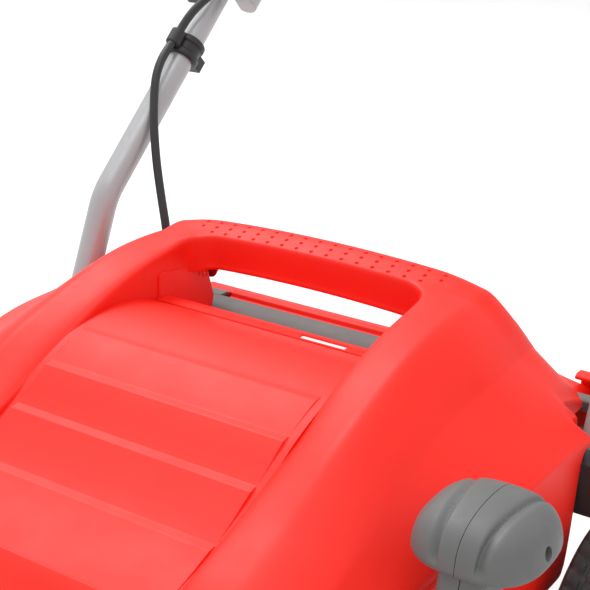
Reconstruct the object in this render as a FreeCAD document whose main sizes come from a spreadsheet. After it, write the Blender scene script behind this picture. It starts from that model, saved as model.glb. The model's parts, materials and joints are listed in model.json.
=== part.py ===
import FreeCAD, Part
import math
import os

import Sketcher
from FreeCAD import Vector

# An electric reel mower, millimetres, +Z up, +Y to the rear, +X to the operator's left.
# Everything below is laid out from the deck's own zero: the ground line under the middle of
# the ribbed cover. The whole machine is then moved forward by origin_back, so that the
# document's origin is on the ground under the middle of the overall length.

doc = FreeCAD.newDocument("reel_mower")
sheet = doc.addObject("Spreadsheet::Sheet", "dims")
sheet.Label = "driving dimensions"

DRIVING = [
    ("origin_back", 397, "deck zero ahead of the document origin"),
    # reel and bed knife
    ("cut_width", 380, "length of the reel's blades"),
    ("cut_height", 30, "reel's lowest point above the ground"),
    ("reel_radius", 60, "radius at the blade edges"),
    ("reel_ahead", 85, "reel axis ahead of the deck zero"),
    ("blade_depth", 14, "radial depth of a reel blade"),
    ("blade_thick", 3, "thickness of a reel blade"),
    ("blade_twist", 62, "degrees that a blade turns over its length"),
    ("spider_thick", 4, "thickness of a reel spider"),
    ("reel_shaft_radius", 8, "radius of the reel's shaft"),
    ("bearing_radius", 16, "outer radius of the reel's bearings"),
    ("bearing_width", 12, "length of the reel's bearings"),
    ("knife_gap", 0.6, "reel to bed knife"),
    ("knife_thick", 4, "thickness of the bed knife"),
    ("running_gap", 0.05, "radial clearance of a running fit"),
    # side plates and what joins them
    ("side_gap", 8, "end of the reel to the side plate"),
    ("plate_thick", 4, "thickness of a side plate"),
    ("tie_radius", 8, "radius of the front tie bar"),
    ("guard_room", 20, "top of the reel to the underside of the motor"),
    ("guard_thick", 2, "thickness of the cutting chamber's guard"),
    ("fastener_radius", 4, "radius of the deck's bolts"),
    # motor and belt
    ("motor_back", 52, "motor axis behind the deck zero"),
    ("motor_radius", 42, "radius of the motor's housing"),
    ("motor_length", 130, "length of the motor's housing"),
    ("motor_shaft_radius", 5, "radius of the motor's shaft"),
    ("reel_pulley_radius", 30, "radius of the pulley on the reel"),
    ("motor_pulley_radius", 12, "radius of the pulley on the motor"),
    ("belt_width", 10, "width of the toothed belt"),
    ("belt_thick", 2, "thickness of the toothed belt"),
    ("belt_room", 5, "belt to its cover"),
    # hood
    ("cover_room", 18, "top of the motor to the height of the cover's second rib"),
    ("shell", 3, "wall of the moulded hood"),
    ("nose_reach", 238, "deck zero to the front of the nose"),
    ("tail_reach", 262, "deck zero to the rear of the hood"),
    ("window_half", 110, "half the width between the hood's two arms"),
    ("moulding_gap", 0.6, "between two mouldings that meet"),
    ("flank_room", 47, "side plate to the widest line of the hood"),
    ("bar_front", 183, "front face of the carry handle"),
    ("bar_depth", 34, "front to rear depth of the carry handle"),
    ("bar_height", 32, "height of the carry handle's section"),
    ("bar_rise", 17, "cover height to the underside of the carry handle"),
    ("rib_step", 1.5, "height of each step on the ribbed cover"),
    # rear flap
    ("flap_half", 158, "half the width of the rear flap"),
    ("flap_thick", 3, "wall of the rear flap"),
    ("flap_pin_radius", 3, "radius of the flap's hinge pin"),
    # wheels and height adjustment
    ("rear_wheel_radius", 93, "radius of a rear wheel"),
    ("rear_wheel_width", 38, "width of a rear wheel"),
    ("rear_wheel_gap", 13, "widest line of the hood to a rear wheel"),
    ("rear_axle_back", 148, "rear axle behind the deck zero"),
    ("front_wheel_radius", 60, "radius of a front wheel"),
    ("front_wheel_width", 28, "width of a front wheel"),
    ("tyre_depth", 12, "radial depth of a tyre"),
    ("axle_radius", 6, "radius of the axles and the cranked shaft"),
    ("arm_gap", 24, "side plate to a swing arm"),
    ("arm_thick", 8, "thickness of a swing arm"),
    ("arm_reach", 103, "cranked shaft to front wheel axis, along the deck"),
    ("pivot_ahead", 62, "cranked shaft ahead of the deck zero"),
    ("pivot_clear", 18, "top of the reel to the cranked shaft's axis"),
    ("lever_room", 56, "side plate to the lever's middle plane"),
    # handlebar
    ("tube_radius", 12.5, "outer radius of the handle tubes"),
    ("tube_wall", 1.5, "wall of the handle tubes"),
    ("tube_room", 46, "side plate to the lower tube's axis"),
    ("bend_back", 225, "bend of the lower tube behind the deck zero"),
    ("bend_rise", 40, "bend of the lower tube above the cover height"),
    ("foot_slope", 65, "degrees of the lower tube's foot above level"),
    ("handle_slope", 41.8, "degrees of the handle above level"),
    ("foot_length", 132, "bend to the lower end of the lower tube"),
    ("fold_reach", 250, "bend to the fold joint"),
    ("joint_gap", 12, "between lower and upper tube at the fold joint"),
    ("tube_overlap", 24, "tube end beyond the fold joint's axis"),
    ("grip_height", 1000, "middle of the grip above the ground"),
    ("corner_radius", 62, "bend radius of the upper handle's corners"),
    ("grip_wall", 4.5, "thickness of the foam grip"),
    ("fold_bolt_radius", 4, "radius of the fold joint's bolts"),
    ("cable_radius", 4, "radius of the motor cable"),
]

for row, (alias, number, note) in enumerate(DRIVING, start=1):
    sheet.set(f"A{row}", note)
    sheet.set(f"B{row}", str(number))
    sheet.setAlias(f"B{row}", alias)
doc.recompute()


class Size:
    """A length that keeps both its number and its spreadsheet expression."""

    def __init__(self, number, text):
        self.number = number
        self.text = text

    def __float__(self):
        return float(self.number)

    def __add__(self, other):
        other = as_size(other)
        return Size(self.number + other.number, f"({self.text} + {other.text})")

    def __sub__(self, other):
        other = as_size(other)
        return Size(self.number - other.number, f"({self.text} - {other.text})")

    def __mul__(self, factor):
        return Size(self.number * factor, f"({self.text} * {factor!r})")

    def __truediv__(self, divisor):
        return Size(self.number / divisor, f"({self.text} / {divisor!r})")

    def __neg__(self):
        return Size(-self.number, f"(-1 * {self.text})")

    __radd__ = __add__
    __rmul__ = __mul__

    def __rsub__(self, other):
        return as_size(other) - self


def as_size(value):
    if isinstance(value, Size):
        return value
    return Size(float(value), repr(float(value)))


class Driving:
    """Reads a driving dimension by its alias."""

    def __getattr__(self, alias):
        return Size(float(getattr(sheet, alias)), f"dims.{alias}")


dim = Driving()
pieces = {}


# ---------------------------------------------------------------- derived sizes
reel_top = dim.cut_height + dim.reel_radius * 2
reel_axis_height = dim.cut_height + dim.reel_radius
plate_in = dim.cut_width / 2 + dim.side_gap
plate_out = plate_in + dim.plate_thick
tube_out = plate_out + dim.tube_room
lever_out = plate_out + dim.lever_room
motor_height = reel_top + dim.guard_room + dim.motor_radius
cover_height = motor_height + dim.motor_radius + dim.cover_room
flank_out = plate_out + dim.flank_room
wheel_in = flank_out + dim.rear_wheel_gap
wheel_out = wheel_in + dim.rear_wheel_width
arm_in = plate_out + dim.arm_gap
arm_out = arm_in + dim.arm_thick
pivot_height = reel_top + dim.pivot_clear
bar_bottom = cover_height + dim.bar_rise - 4
bar_top = bar_bottom + dim.bar_height
front_wheel_ahead = dim.pivot_ahead + dim.arm_reach
belt_in = plate_out + 4
belt_out = belt_in + dim.belt_width
bend_height = cover_height + dim.bend_rise
slope = math.radians(float(dim.handle_slope))
foot = math.radians(float(dim.foot_slope))


# ---------------------------------------------------------------- helpers
def bind(item, prop, size):
    """Sets one property of an object, and ties it to the sheet."""
    size = as_size(size)
    if "." not in prop:
        setattr(item, prop, size.number)
    item.setExpression(prop, size.text)


def place(item, x, y, z, turn=None):
    """Puts an object at a point of the deck's layout, tied to the sheet."""
    x, y, z = as_size(x), as_size(y) - dim.origin_back, as_size(z)
    rotation = turn or FreeCAD.Rotation()
    item.Placement = FreeCAD.Placement(Vector(x.number, y.number, z.number), rotation)
    for axis, size in (("x", x), ("y", y), ("z", z)):
        item.setExpression(f".Placement.Base.{axis}", size.text)


def keep(node, item):
    """Makes an object one of the mower's pieces."""
    item.Label = node
    pieces[node] = item
    return item


ALONG_X = FreeCAD.Rotation(Vector(0, 1, 0), 90)


def rod(name, radius, length, x, y, z):
    """A round bar along X that starts at x."""
    item = doc.addObject("Part::Cylinder", name)
    bind(item, "Radius", radius)
    bind(item, "Height", length)
    place(item, x, y, z, ALONG_X)
    return item


def block(name, dx, dy, dz, x, y, z, turn=None):
    """A box with its low corner at x, y, z."""
    item = doc.addObject("Part::Box", name)
    bind(item, "Length", dx)
    bind(item, "Width", dy)
    bind(item, "Height", dz)
    place(item, x, y, z, turn)
    return item


def fuse(name, *items):
    item = doc.addObject("Part::MultiFuse", name)
    item.Shapes = list(items)
    return item


def cut(name, base, *tools):
    """A piece with one or more tools taken out of it."""
    item = doc.addObject("Part::Cut", name)
    item.Base = base
    item.Tool = tools[0] if len(tools) == 1 else fuse(f"{name}_tools", *tools)
    return item


def solid(name, shape):
    """A piece whose shape is made here from the sheet's sizes, laid out from the deck's zero."""
    item = doc.addObject("Part::Feature", name)
    item.Shape = shape
    forward = FreeCAD.Placement(Vector(0, -float(dim.origin_back), 0), FreeCAD.Rotation())
    item.Placement = forward.multiply(shape.Placement)
    return item


def body(name, x, y, z):
    item = doc.addObject("PartDesign::Body", name)
    place(item, x, y, z)
    return item


def sketch_on(part, name, role):
    """A sketch on one of a body's own origin planes."""
    sketch = part.newObject("Sketcher::SketchObject", name)
    plane = next(f for f in part.Origin.OriginFeatures if f.Role == role)
    sketch.AttachmentSupport = [(plane, "")]
    sketch.MapMode = "FlatFace"
    return sketch


def draw_polygon(sketch, points):
    """A closed outline whose corners are tied to the sheet, two distances each."""
    points = [(as_size(a), as_size(b)) for a, b in points]
    first = sketch.GeometryCount
    count = len(points)
    for i in range(count):
        a, b = points[i], points[(i + 1) % count]
        start = Vector(a[0].number, a[1].number, 0)
        end = Vector(b[0].number, b[1].number, 0)
        sketch.addGeometry(Part.LineSegment(start, end), False)
    for i in range(count):
        following = first + (i + 1) % count
        sketch.addConstraint(Sketcher.Constraint("Coincident", first + i, 2, following, 1))
    for i, point in enumerate(points):
        for kind, size in zip(("DistanceX", "DistanceY"), point):
            index = sketch.addConstraint(
                Sketcher.Constraint(kind, -1, 1, first + i, 1, size.number)
            )
            sketch.setExpression(f"Constraints[{index}]", size.text)


def draw_circle(sketch, x, y, radius):
    """A circle whose middle and radius are tied to the sheet."""
    x, y, radius = as_size(x), as_size(y), as_size(radius)
    centre = Vector(x.number, y.number, 0)
    circle = sketch.addGeometry(Part.Circle(centre, Vector(0, 0, 1), radius.number), False)
    for kind, size in (("DistanceX", x), ("DistanceY", y)):
        index = sketch.addConstraint(Sketcher.Constraint(kind, -1, 1, circle, 3, size.number))
        sketch.setExpression(f"Constraints[{index}]", size.text)
    index = sketch.addConstraint(Sketcher.Constraint("Radius", circle, radius.number))
    sketch.setExpression(f"Constraints[{index}]", radius.text)


def plate(name, outline, holes, thick, x):
    """A flat plate square to X: a padded outline in Y and Z with round holes."""
    part = body(name, x, 0, 0)
    sketch = sketch_on(part, f"{name}_outline", "YZ_Plane")
    draw_polygon(sketch, outline)
    for y, z, radius in holes:
        draw_circle(sketch, y, z, radius)
    pad = part.newObject("PartDesign::Pad", f"{name}_pad")
    pad.Profile = sketch
    bind(pad, "Length", thick)
    sketch.Visibility = False
    return part


def turned(name, profile, x, y, z):
    """A turned piece: a profile of (distance along X, radius) turned about X."""
    part = body(name, x, y, z)
    sketch = sketch_on(part, f"{name}_profile", "XY_Plane")
    draw_polygon(sketch, profile)
    turn = part.newObject("PartDesign::Revolution", f"{name}_turn")
    turn.Profile = sketch
    turn.ReferenceAxis = (sketch, ["H_Axis"])
    turn.Angle = 360
    sketch.Visibility = False
    return part


def vec(x, y, z):
    return Vector(float(x), float(y), float(z))


def profile_face(points, x):
    """A flat face square to X from points in Y and Z."""
    corners = [vec(x, y, z) for y, z in points]
    return Part.Face(Part.makePolygon(corners + corners[:1]))


def prism(points, x0, x1):
    """A solid between x0 and x1 with an outline in Y and Z."""
    return profile_face(points, x0).extrude(vec(float(x1) - float(x0), 0, 0))


def strap_face(x, y0, z0, r0, y1, z1, r1):
    """The outline of a belt, strap or arm round two circles, square to X."""
    y0, z0, r0, y1, z1, r1 = (float(v) for v in (y0, z0, r0, y1, z1, r1))
    span = math.hypot(y1 - y0, z1 - z0)
    along = math.atan2(z1 - z0, y1 - y0)
    lean = math.acos((r0 - r1) / span)

    def on(y, z, r, angle):
        return vec(x, y + r * math.cos(angle), z + r * math.sin(angle))

    a, b = on(y0, z0, r0, along + lean), on(y1, z1, r1, along + lean)
    c, d = on(y1, z1, r1, along - lean), on(y0, z0, r0, along - lean)
    tip = on(y1, z1, r1, along)
    back = on(y0, z0, r0, along + math.pi)
    edges = [
        Part.LineSegment(a, b).toShape(),
        Part.Arc(b, tip, c).toShape(),
        Part.LineSegment(c, d).toShape(),
        Part.Arc(d, back, a).toShape(),
    ]
    return Part.Face(Part.Wire(edges))


def strap(x0, x1, *circles):
    return strap_face(x0, *circles).extrude(vec(float(x1) - float(x0), 0, 0))


def rounded_path(points, share=0.45, radius=None):
    """Straight runs joined by tangent arcs, and the arcs' radii."""
    edges, radii = [], []
    at = points[0]
    for i in range(1, len(points) - 1):
        before, corner, after = points[i - 1], points[i], points[i + 1]
        u, w = before.sub(corner), after.sub(corner)
        turn = math.pi - u.getAngle(w)
        bend = radius or share * min(u.Length, w.Length) / math.tan(turn / 2)
        back = bend * math.tan(turn / 2)
        u.normalize()
        w.normalize()
        start, end = corner + u * back, corner + w * back
        middle = corner + (u + w).normalize() * (bend / math.cos(turn / 2) - bend)
        if at.distanceToPoint(start) > 1e-6:
            edges.append(Part.LineSegment(at, start).toShape())
        edges.append(Part.Arc(start, middle, end).toShape())
        radii.append(bend)
        at = end
    edges.append(Part.LineSegment(at, points[-1]).toShape())
    return Part.Wire(edges), radii


def pipe(path, radius):
    """A solid round bar along a path."""
    first = path.OrderedEdges[0]
    ring = Part.Circle(first.Vertexes[0].Point, first.tangentAt(first.FirstParameter), radius)
    start = path.OrderedVertexes[0].Point
    ring.Center = start
    return path.makePipeShell([Part.Wire(ring.toShape())], True, False)


def hollow_pipe(path, radius, wall):
    return pipe(path, radius).cut(pipe(path, radius - wall))


def bar_x(radius, x0, x1, y, z):
    length = float(x1) - float(x0)
    return Part.makeCylinder(float(radius), length, vec(x0, y, z), Vector(1, 0, 0))


def box_at(x0, x1, y0, y1, z0, z1):
    size = [float(b) - float(a) for a, b in ((x0, x1), (y0, y1), (z0, z1))]
    return Part.makeBox(*size, vec(x0, y0, z0))


def one(shape):
    """The single solid of a shape."""
    shape = shape.removeSplitter()
    return shape.Solids[0] if len(shape.Solids) == 1 else shape


# ---------------------------------------------------------------- chassis
reel_y = -dim.reel_ahead
pivot_y = -dim.pivot_ahead
beam_front = dim.rear_axle_back - 6
beam_depth = 40
beam_low = cover_height - 90
beam_thick = 30
tie_y = -dim.reel_ahead - 62
tie_z = reel_top + 14

plate_outline = [
    (reel_y - 62, dim.cut_height + 6),
    (reel_y + 30, dim.cut_height - 6),
    (dim.rear_axle_back + 20, dim.rear_wheel_radius - 22),
    (dim.tail_reach - 12, dim.rear_wheel_radius - 8),
    (dim.tail_reach - 12, cover_height - 62),
    (dim.motor_back + 50, motor_height + 20),
    (dim.motor_back - 40, motor_height + 20),
    (pivot_y, pivot_height + 22),
    (tie_y - 22, tie_z + 6),
    (tie_y - 22, reel_axis_height),
]


def side_plate(node, x, belt_side):
    """A side plate: bearing hole, shaft hole, axle hole, tie holes, and a slot for the motor shaft."""
    holes = [
        (reel_y, reel_axis_height, dim.bearing_radius),
        (pivot_y, pivot_height, dim.axle_radius + dim.running_gap),
        (dim.rear_axle_back, dim.rear_wheel_radius, dim.axle_radius),
        (tie_y, tie_z, dim.fastener_radius),
        (dim.rear_axle_back + 2, beam_low + 15, dim.fastener_radius),
        (dim.rear_axle_back + 22, beam_low + 15, dim.fastener_radius),
    ]
    if belt_side:
        holes.append((dim.motor_back, motor_height, dim.motor_shaft_radius + 4))
    keep(node, plate(node, plate_outline, holes, dim.plate_thick, x))


side_plate("side_plate_left", plate_in, False)
side_plate("side_plate_right", -plate_out, True)

tie_bar = rod("tie_bar_round", dim.tie_radius, plate_in * 2, -plate_in, tie_y, tie_z)
tie_bore = rod("tie_bar_bore", dim.fastener_radius, plate_in * 2, -plate_in, tie_y, tie_z)
keep("front_tie_bar", cut("front_tie_bar", tie_bar, tie_bore))

beam_outer = block("beam_outer", plate_in * 2, beam_depth, beam_thick, -plate_in, beam_front, beam_low)
beam_end = 12
beam_inner = block(
    "beam_inner",
    (plate_in - beam_end) * 2,
    beam_depth - 4,
    beam_thick - 4,
    -(plate_in - beam_end),
    beam_front + 2,
    beam_low + 2,
)
bolt_places = [dim.rear_axle_back + 2, dim.rear_axle_back + 22]
beam_holes = [
    rod(f"beam_hole_{i}", dim.fastener_radius, plate_in * 2, -plate_in, y, beam_low + 15)
    for i, y in enumerate(bolt_places)
]
keep("rear_beam", cut("rear_beam", beam_outer, beam_inner, *beam_holes))


def guard_shape():
    """A curved roof over the reel that runs back as the roof of the discharge."""
    inner = float(dim.reel_radius) + 8
    outer = inner + float(dim.guard_thick)
    y, z = float(reel_y), float(reel_axis_height)

    def at(radius, degrees):
        angle = math.radians(degrees)
        return vec(0, y + radius * math.cos(angle), z + radius * math.sin(angle))

    rear = vec(0, dim.rear_axle_back + dim.plate_thick + 78, beam_low - 8)
    lift = vec(0, 0, dim.guard_thick)
    lines = [
        Part.Arc(at(inner, 122), at(inner, 85), at(inner, 48)).toShape(),
        Part.LineSegment(at(inner, 48), rear).toShape(),
        Part.LineSegment(rear, rear + lift).toShape(),
        Part.LineSegment(rear + lift, at(outer, 48)).toShape(),
        Part.Arc(at(outer, 48), at(outer, 85), at(outer, 122)).toShape(),
        Part.LineSegment(at(outer, 122), at(inner, 122)).toShape(),
    ]
    width = 2 * float(plate_in) - 1
    sheet_metal = Part.Face(Part.Wire(lines)).extrude(vec(width, 0, 0))
    sheet_metal.translate(vec(-width / 2, 0, 0))
    return sheet_metal


keep("chamber_guard", solid("chamber_guard", guard_shape()))

# ---------------------------------------------------------------- reel
shaft_start = -belt_out
shaft_end = plate_out + 3
keep(
    "reel_shaft",
    rod("reel_shaft", dim.reel_shaft_radius, shaft_end - shaft_start, shaft_start, reel_y, reel_axis_height),
)


def blade_shape(index, count=5):
    """A flat bar wound round the reel's axis, with its outer edge on the reel's radius."""
    outer = float(dim.reel_radius)
    inner = outer - float(dim.blade_depth)
    half = float(dim.blade_thick) / 2
    length = float(dim.cut_width)
    steps = 10
    sections = []
    for step in range(steps + 1):
        share = step / steps
        angle = 2 * math.pi * index / count + math.radians(float(dim.blade_twist)) * share
        x = -length / 2 + length * share
        radial = Vector(0, math.cos(angle), math.sin(angle))
        across = Vector(0, -math.sin(angle), math.cos(angle))
        centre = vec(x, reel_y, reel_axis_height)
        edge = math.sqrt(outer * outer - half * half)
        corners = [
            centre + radial * inner - across * half,
            centre + radial * edge - across * half,
            centre + radial * edge + across * half,
            centre + radial * inner + across * half,
        ]
        sections.append(Part.makePolygon(corners + corners[:1]))
    return Part.makeLoft(sections, True, True)


BLADES = 5
blades = [blade_shape(i, BLADES) for i in range(BLADES)]
for i, shape in enumerate(blades):
    keep(f"reel_blade_{i + 1}", solid(f"reel_blade_{i + 1}", shape))

spider_reach = dim.reel_radius - dim.blade_depth + 5
for i, share in enumerate((-0.42, 0, 0.42)):
    middle = float(dim.cut_width) * share
    half = float(dim.spider_thick) / 2
    disc = bar_x(spider_reach, middle - half, middle + half, reel_y, reel_axis_height)
    for hole in range(BLADES):
        angle = 2 * math.pi * (hole + 0.5) / BLADES + math.radians(float(dim.blade_twist)) * (share + 0.5)
        reach = (float(spider_reach) + float(dim.reel_shaft_radius)) / 2
        disc = disc.cut(
            bar_x(
                9,
                middle - half - 1,
                middle + half + 1,
                float(reel_y) + reach * math.cos(angle),
                float(reel_axis_height) + reach * math.sin(angle),
            )
        )
    bore = bar_x(dim.reel_shaft_radius, middle - half - 1, middle + half + 1, reel_y, reel_axis_height)
    disc = disc.cut(bore).cut(Part.makeCompound(blades))
    keep(f"reel_spider_{i + 1}", solid(f"reel_spider_{i + 1}", one(disc)))

keep(
    "reel_pulley",
    turned(
        "reel_pulley",
        [
            (0, dim.reel_shaft_radius),
            (dim.belt_width, dim.reel_shaft_radius),
            (dim.belt_width, dim.reel_pulley_radius),
            (0, dim.reel_pulley_radius),
        ],
        -belt_out,
        reel_y,
        reel_axis_height,
    ),
)


def bearing_shape(x0):
    outer = bar_x(dim.bearing_radius, x0, float(x0) + float(dim.bearing_width), reel_y, reel_axis_height)
    bore = float(dim.reel_shaft_radius) + float(dim.running_gap)
    return outer.cut(bar_x(bore, float(x0) - 1, float(x0) + 40, reel_y, reel_axis_height))


bearing_back = (float(dim.bearing_width) - float(dim.plate_thick)) - 1
left_bearing = bearing_shape(float(plate_in) - bearing_back)
right_bearing = bearing_shape(-float(plate_out) - 1)
keep("reel_bearings", solid("reel_bearings", Part.makeCompound([left_bearing, right_bearing])))

# The bed knife stands behind the reel's lowest point, with its lip a hair from the blades.
knife_top = dim.cut_height - dim.knife_gap
knife_y = reel_y - 1
keep(
    "bed_knife",
    block(
        "bed_knife",
        dim.cut_width,
        34,
        dim.knife_thick,
        -dim.cut_width / 2,
        knife_y,
        knife_top - dim.knife_thick,
    ),
)
carrier_y = reel_y + 14
clear = dim.reel_radius + 4


def carrier_shape():
    """A bar that holds the bed knife, hollowed to follow the reel."""
    top = float(knife_top) + 26
    base = box_at(-float(plate_in), plate_in, carrier_y, float(carrier_y) + 42, knife_top, top)
    return base.cut(bar_x(clear, -400, 400, reel_y, reel_axis_height))


keep("bed_knife_carrier", solid("bed_knife_carrier", one(carrier_shape())))

# ---------------------------------------------------------------- motor and belt
motor_start = -dim.motor_length / 2
motor_can = rod("motor_can", dim.motor_radius, dim.motor_length, motor_start, dim.motor_back, motor_height)
motor_bore = rod(
    "motor_bore",
    dim.motor_shaft_radius + dim.running_gap,
    dim.motor_length - 20,
    -dim.motor_length / 2,
    dim.motor_back,
    motor_height,
)
keep("motor_housing", cut("motor_housing", motor_can, motor_bore))

motor_shaft_end = dim.motor_length / 2 - 24
motor_shaft = rod(
    "motor_shaft_bar",
    dim.motor_shaft_radius,
    motor_shaft_end + belt_out,
    -belt_out,
    dim.motor_back,
    motor_height,
)
motor_pulley = rod(
    "motor_pulley", dim.motor_pulley_radius, dim.belt_width, -belt_out, dim.motor_back, motor_height
)
keep("motor_shaft", fuse("motor_shaft", motor_shaft, motor_pulley))


def mount_shape():
    """A strap from the rear beam that holds the motor's far end in a split ring."""
    x0, x1 = -float(dim.motor_length) / 2 + 30, float(dim.motor_length) / 2 - 30
    ring = bar_x(float(dim.motor_radius) + 3, x0, x1, dim.motor_back, motor_height)
    floor = box_at(x0, x1, dim.motor_back, beam_front, beam_low + 2, beam_low + 8)
    whole = ring.fuse(floor)
    return one(whole.cut(bar_x(dim.motor_radius, x0 - 1, x1 + 1, dim.motor_back, motor_height)))


keep("motor_mount", solid("motor_mount", mount_shape()))


def belt_circles(grow):
    return (
        reel_y,
        reel_axis_height,
        float(dim.reel_pulley_radius) + grow,
        dim.motor_back,
        motor_height,
        float(dim.motor_pulley_radius) + grow,
    )


belt_slack = 0.3
belt_inner = strap(-belt_out - 1, -belt_in + 1, *belt_circles(belt_slack))
belt_outer = strap(-belt_out + 1, -belt_in - 1, *belt_circles(belt_slack + float(dim.belt_thick)))
keep("drive_belt", solid("drive_belt", belt_outer.cut(belt_inner)))

cover_room = float(dim.belt_thick) + float(dim.belt_room)
cover_out = float(belt_out) + 6
cover_shell = strap(-cover_out, -float(plate_out), *belt_circles(cover_room + 2))
cover_hollow = strap(-cover_out + 2, -float(plate_out) + 1, *belt_circles(cover_room))
keep("belt_cover", solid("belt_cover", cover_shell.cut(cover_hollow)))

# ---------------------------------------------------------------- hood
arm_crest = dim.window_half + 42
shoulder = plate_out - 8
nose_half = plate_out + 12


def hood_section(y, inner, crest, fold, flank, grow=0.0):
    """
    One cross-section of the hood at y: heights over the cover height of the arm's inner edge,
    the arm's crest, the shoulder's fold (with its distance out) and the flank's edge.
    A negative grow gives the inside face of the moulding.
    """
    base = float(cover_height)
    low = 60 if grow == 0 else 40
    right = [
        (0, inner),
        (float(dim.window_half) + 8, inner),
        (float(arm_crest), crest),
        fold,
        flank,
    ]
    right = [(x + (grow if x else 0), base + z + grow) for x, z in right]
    foot_x = right[-1][0]
    points = [(-foot_x, low)]
    points += [(-x, z) for x, z in reversed(right[1:])]
    points += [(x, z) for x, z in right[1:]]
    points += [(foot_x, low)]
    corners = [Vector(x, y, z) for x, z in points]
    return Part.makePolygon(corners + corners[:1])


def hood_stations():
    """Stations from the nose to the tail: (y, inner, crest, (fold), (flank))."""
    front, rear = -float(dim.nose_reach), float(dim.tail_reach)
    s, n, w = float(shoulder), float(nose_half), float(flank_out)
    return [
        (front, -160, -162, (s - 20, -166), (n - 10, -180)),
        (front + 22, -112, -112, (s - 12, -122), (n - 4, -140)),
        (front + 58, -76, -74, (s - 8, -86), (n, -106)),
        (front + 100, -50, -46, (s - 6, -60), (n, -82)),
        (-61, -26, -20, (s - 5, -36), (n + 8, -60)),
        (0, -3, 11, (s - 6, -14), (n + 20, -46)),
        (46, 16, 25, (s - 9, -2), (n + 28, -34)),
        (86, 26, 34, (s - 11, 3), (w - 2, -28)),
        (128, 36, 39, (s, 9), (w, -27)),
        (float(dim.bar_front), 42, 42, (s + 8, 13), (w, -28)),
        (float(dim.bar_front) + 34, 40, 38, (s + 8, 6), (w, -30)),
        (rear - 22, 18, 14, (s + 4, -12), (w - 2, -36)),
        (rear, -36, -38, (s, -40), (w - 6, -48)),
    ]


def hood_skin():
    """The moulding's outside as a solid, and the thin skin under it."""
    wall = float(dim.shell)
    stations = hood_stations()
    outside = Part.makeLoft([hood_section(*row) for row in stations], True, True)
    inner_rows = [list(row) for row in stations]
    inner_rows[0][0] += wall
    inner_rows[-1][0] -= wall
    inside = Part.makeLoft([hood_section(*row, grow=-wall) for row in inner_rows], True, True)
    return outside, outside.cut(inside)


grommet_radius = dim.cable_radius + 4
cable_x = -(plate_out - 8)
cable_y = dim.tail_reach - 17
nose_seam = -dim.nose_reach + 100
nose_low = cover_height - 147


def hood_shape():
    outside, skin = hood_skin()

    half = float(dim.window_half)
    web = float(dim.shell)
    bar_y0 = float(dim.bar_front)
    bar_y1 = bar_y0 + float(dim.bar_depth)
    # The arms' inner walls stand along the window, down to just under the ribbed cover.
    front = float(nose_seam)
    walls = box_at(half, half + web, front, bar_y1, 0, 500)
    walls = walls.fuse(box_at(-half - web, -half, front, bar_y1, 0, 500)).common(outside)
    below = [(front - 5, -75)] + [(y, z - 16) for y, z in cover_line()] + [(bar_y1 + 5, -40)]
    below = [(y, float(cover_height) + z) for y, z in below]
    below += [(bar_y1 + 5, 0), (front - 5, 0)]
    walls = walls.cut(prism(below, -300, 300))
    window = box_at(-half, half, front, bar_y1 + 60, 40, 500)
    nose = box_at(-half, half, front - 150, front + 1, nose_low, 500)
    skin = skin.cut(window).cut(nose).fuse(walls)

    # The rear bay behind and under the carry handle, where the flap is.
    bay_half = float(dim.flap_half) + 3
    bay = box_at(-bay_half, bay_half, bar_y1, 400, 40, 500)
    bay = bay.fuse(box_at(-bay_half, bay_half, bar_y0 + 3, bar_y1 + 1, 40, float(bar_bottom) - 23))
    skin = skin.cut(bay)

    # The higher skirt at the rear, and the side notch for the cranked shaft and the swing arms.
    skin = skin.cut(box_at(-400, 400, float(pivot_y) + 46, 400, 0, float(cover_height) - 130))
    notch_top = float(pivot_height) + 27
    notch_front = float(pivot_y) - 66
    for side in (-1, 1):
        outer = sorted((side * (float(plate_out) + 2), side * 400))
        skin = skin.cut(box_at(*outer, notch_front, float(pivot_y) + 47, 0, notch_top))

    # The pocket at each rear corner, where the handle tube goes in.
    for side in (-1, 1):
        reach = sorted((side * (float(plate_out) + 2), side * (float(flank_out) - float(dim.shell))))
        top = float(cover_height) - 36
        skin = skin.cut(box_at(*reach, float(dim.bar_front) - 2, float(dim.tail_reach) - 3, top, 500))
        slot = float(dim.tube_radius) + 2
        reach = sorted((side * (float(tube_out) - slot), side * 400))
        front = float(dim.bar_front) - 38
        skin = skin.cut(box_at(*reach, front, float(dim.tail_reach) - 20, 0, float(cover_height) - 40))
        skin = skin.cut(box_at(*reach, front + 23, float(dim.tail_reach) - 20, 0, 500))

    entry = Part.makeCylinder(float(grommet_radius), 200, vec(cable_x, cable_y, 180))
    return skin.cut(entry)


def cover_line():
    """The top line of the ribbed cover: (y, height over the cover height)."""
    front = -float(dim.nose_reach) + 100
    return [
        (front, -55),
        (-81, -39.4),
        (-37, -19.3),
        (0, 0),
        (38.5, 14.7),
        (70, 22),
        (95, 21),
        (125, 9),
        (160, -14),
    ]


def carry_handle_shape():
    """The bridging bar: a crowned section with rounded edges, ending inside the two arms."""
    half = float(dim.window_half) + 1
    y0 = float(dim.bar_front)
    y1 = y0 + float(dim.bar_depth)
    z0, z1 = float(bar_bottom), float(bar_top)
    crown = [
        (y0 + 3, z0),
        (y0, z0 + 4),
        (y0 + 2, z1 - 6),
        (y0 + 7, z1 - 1.5),
        (y0 + 17, z1),
        (y1 - 6, z1 - 1.5),
        (y1, z1 - 8),
        (y1, z0 + 6),
        (y1 - 4, z0),
    ]
    return prism(crown, -half, half)


hood = hood_shape().fuse(carry_handle_shape())
keep("hood", solid("hood", one(hood)))


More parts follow.
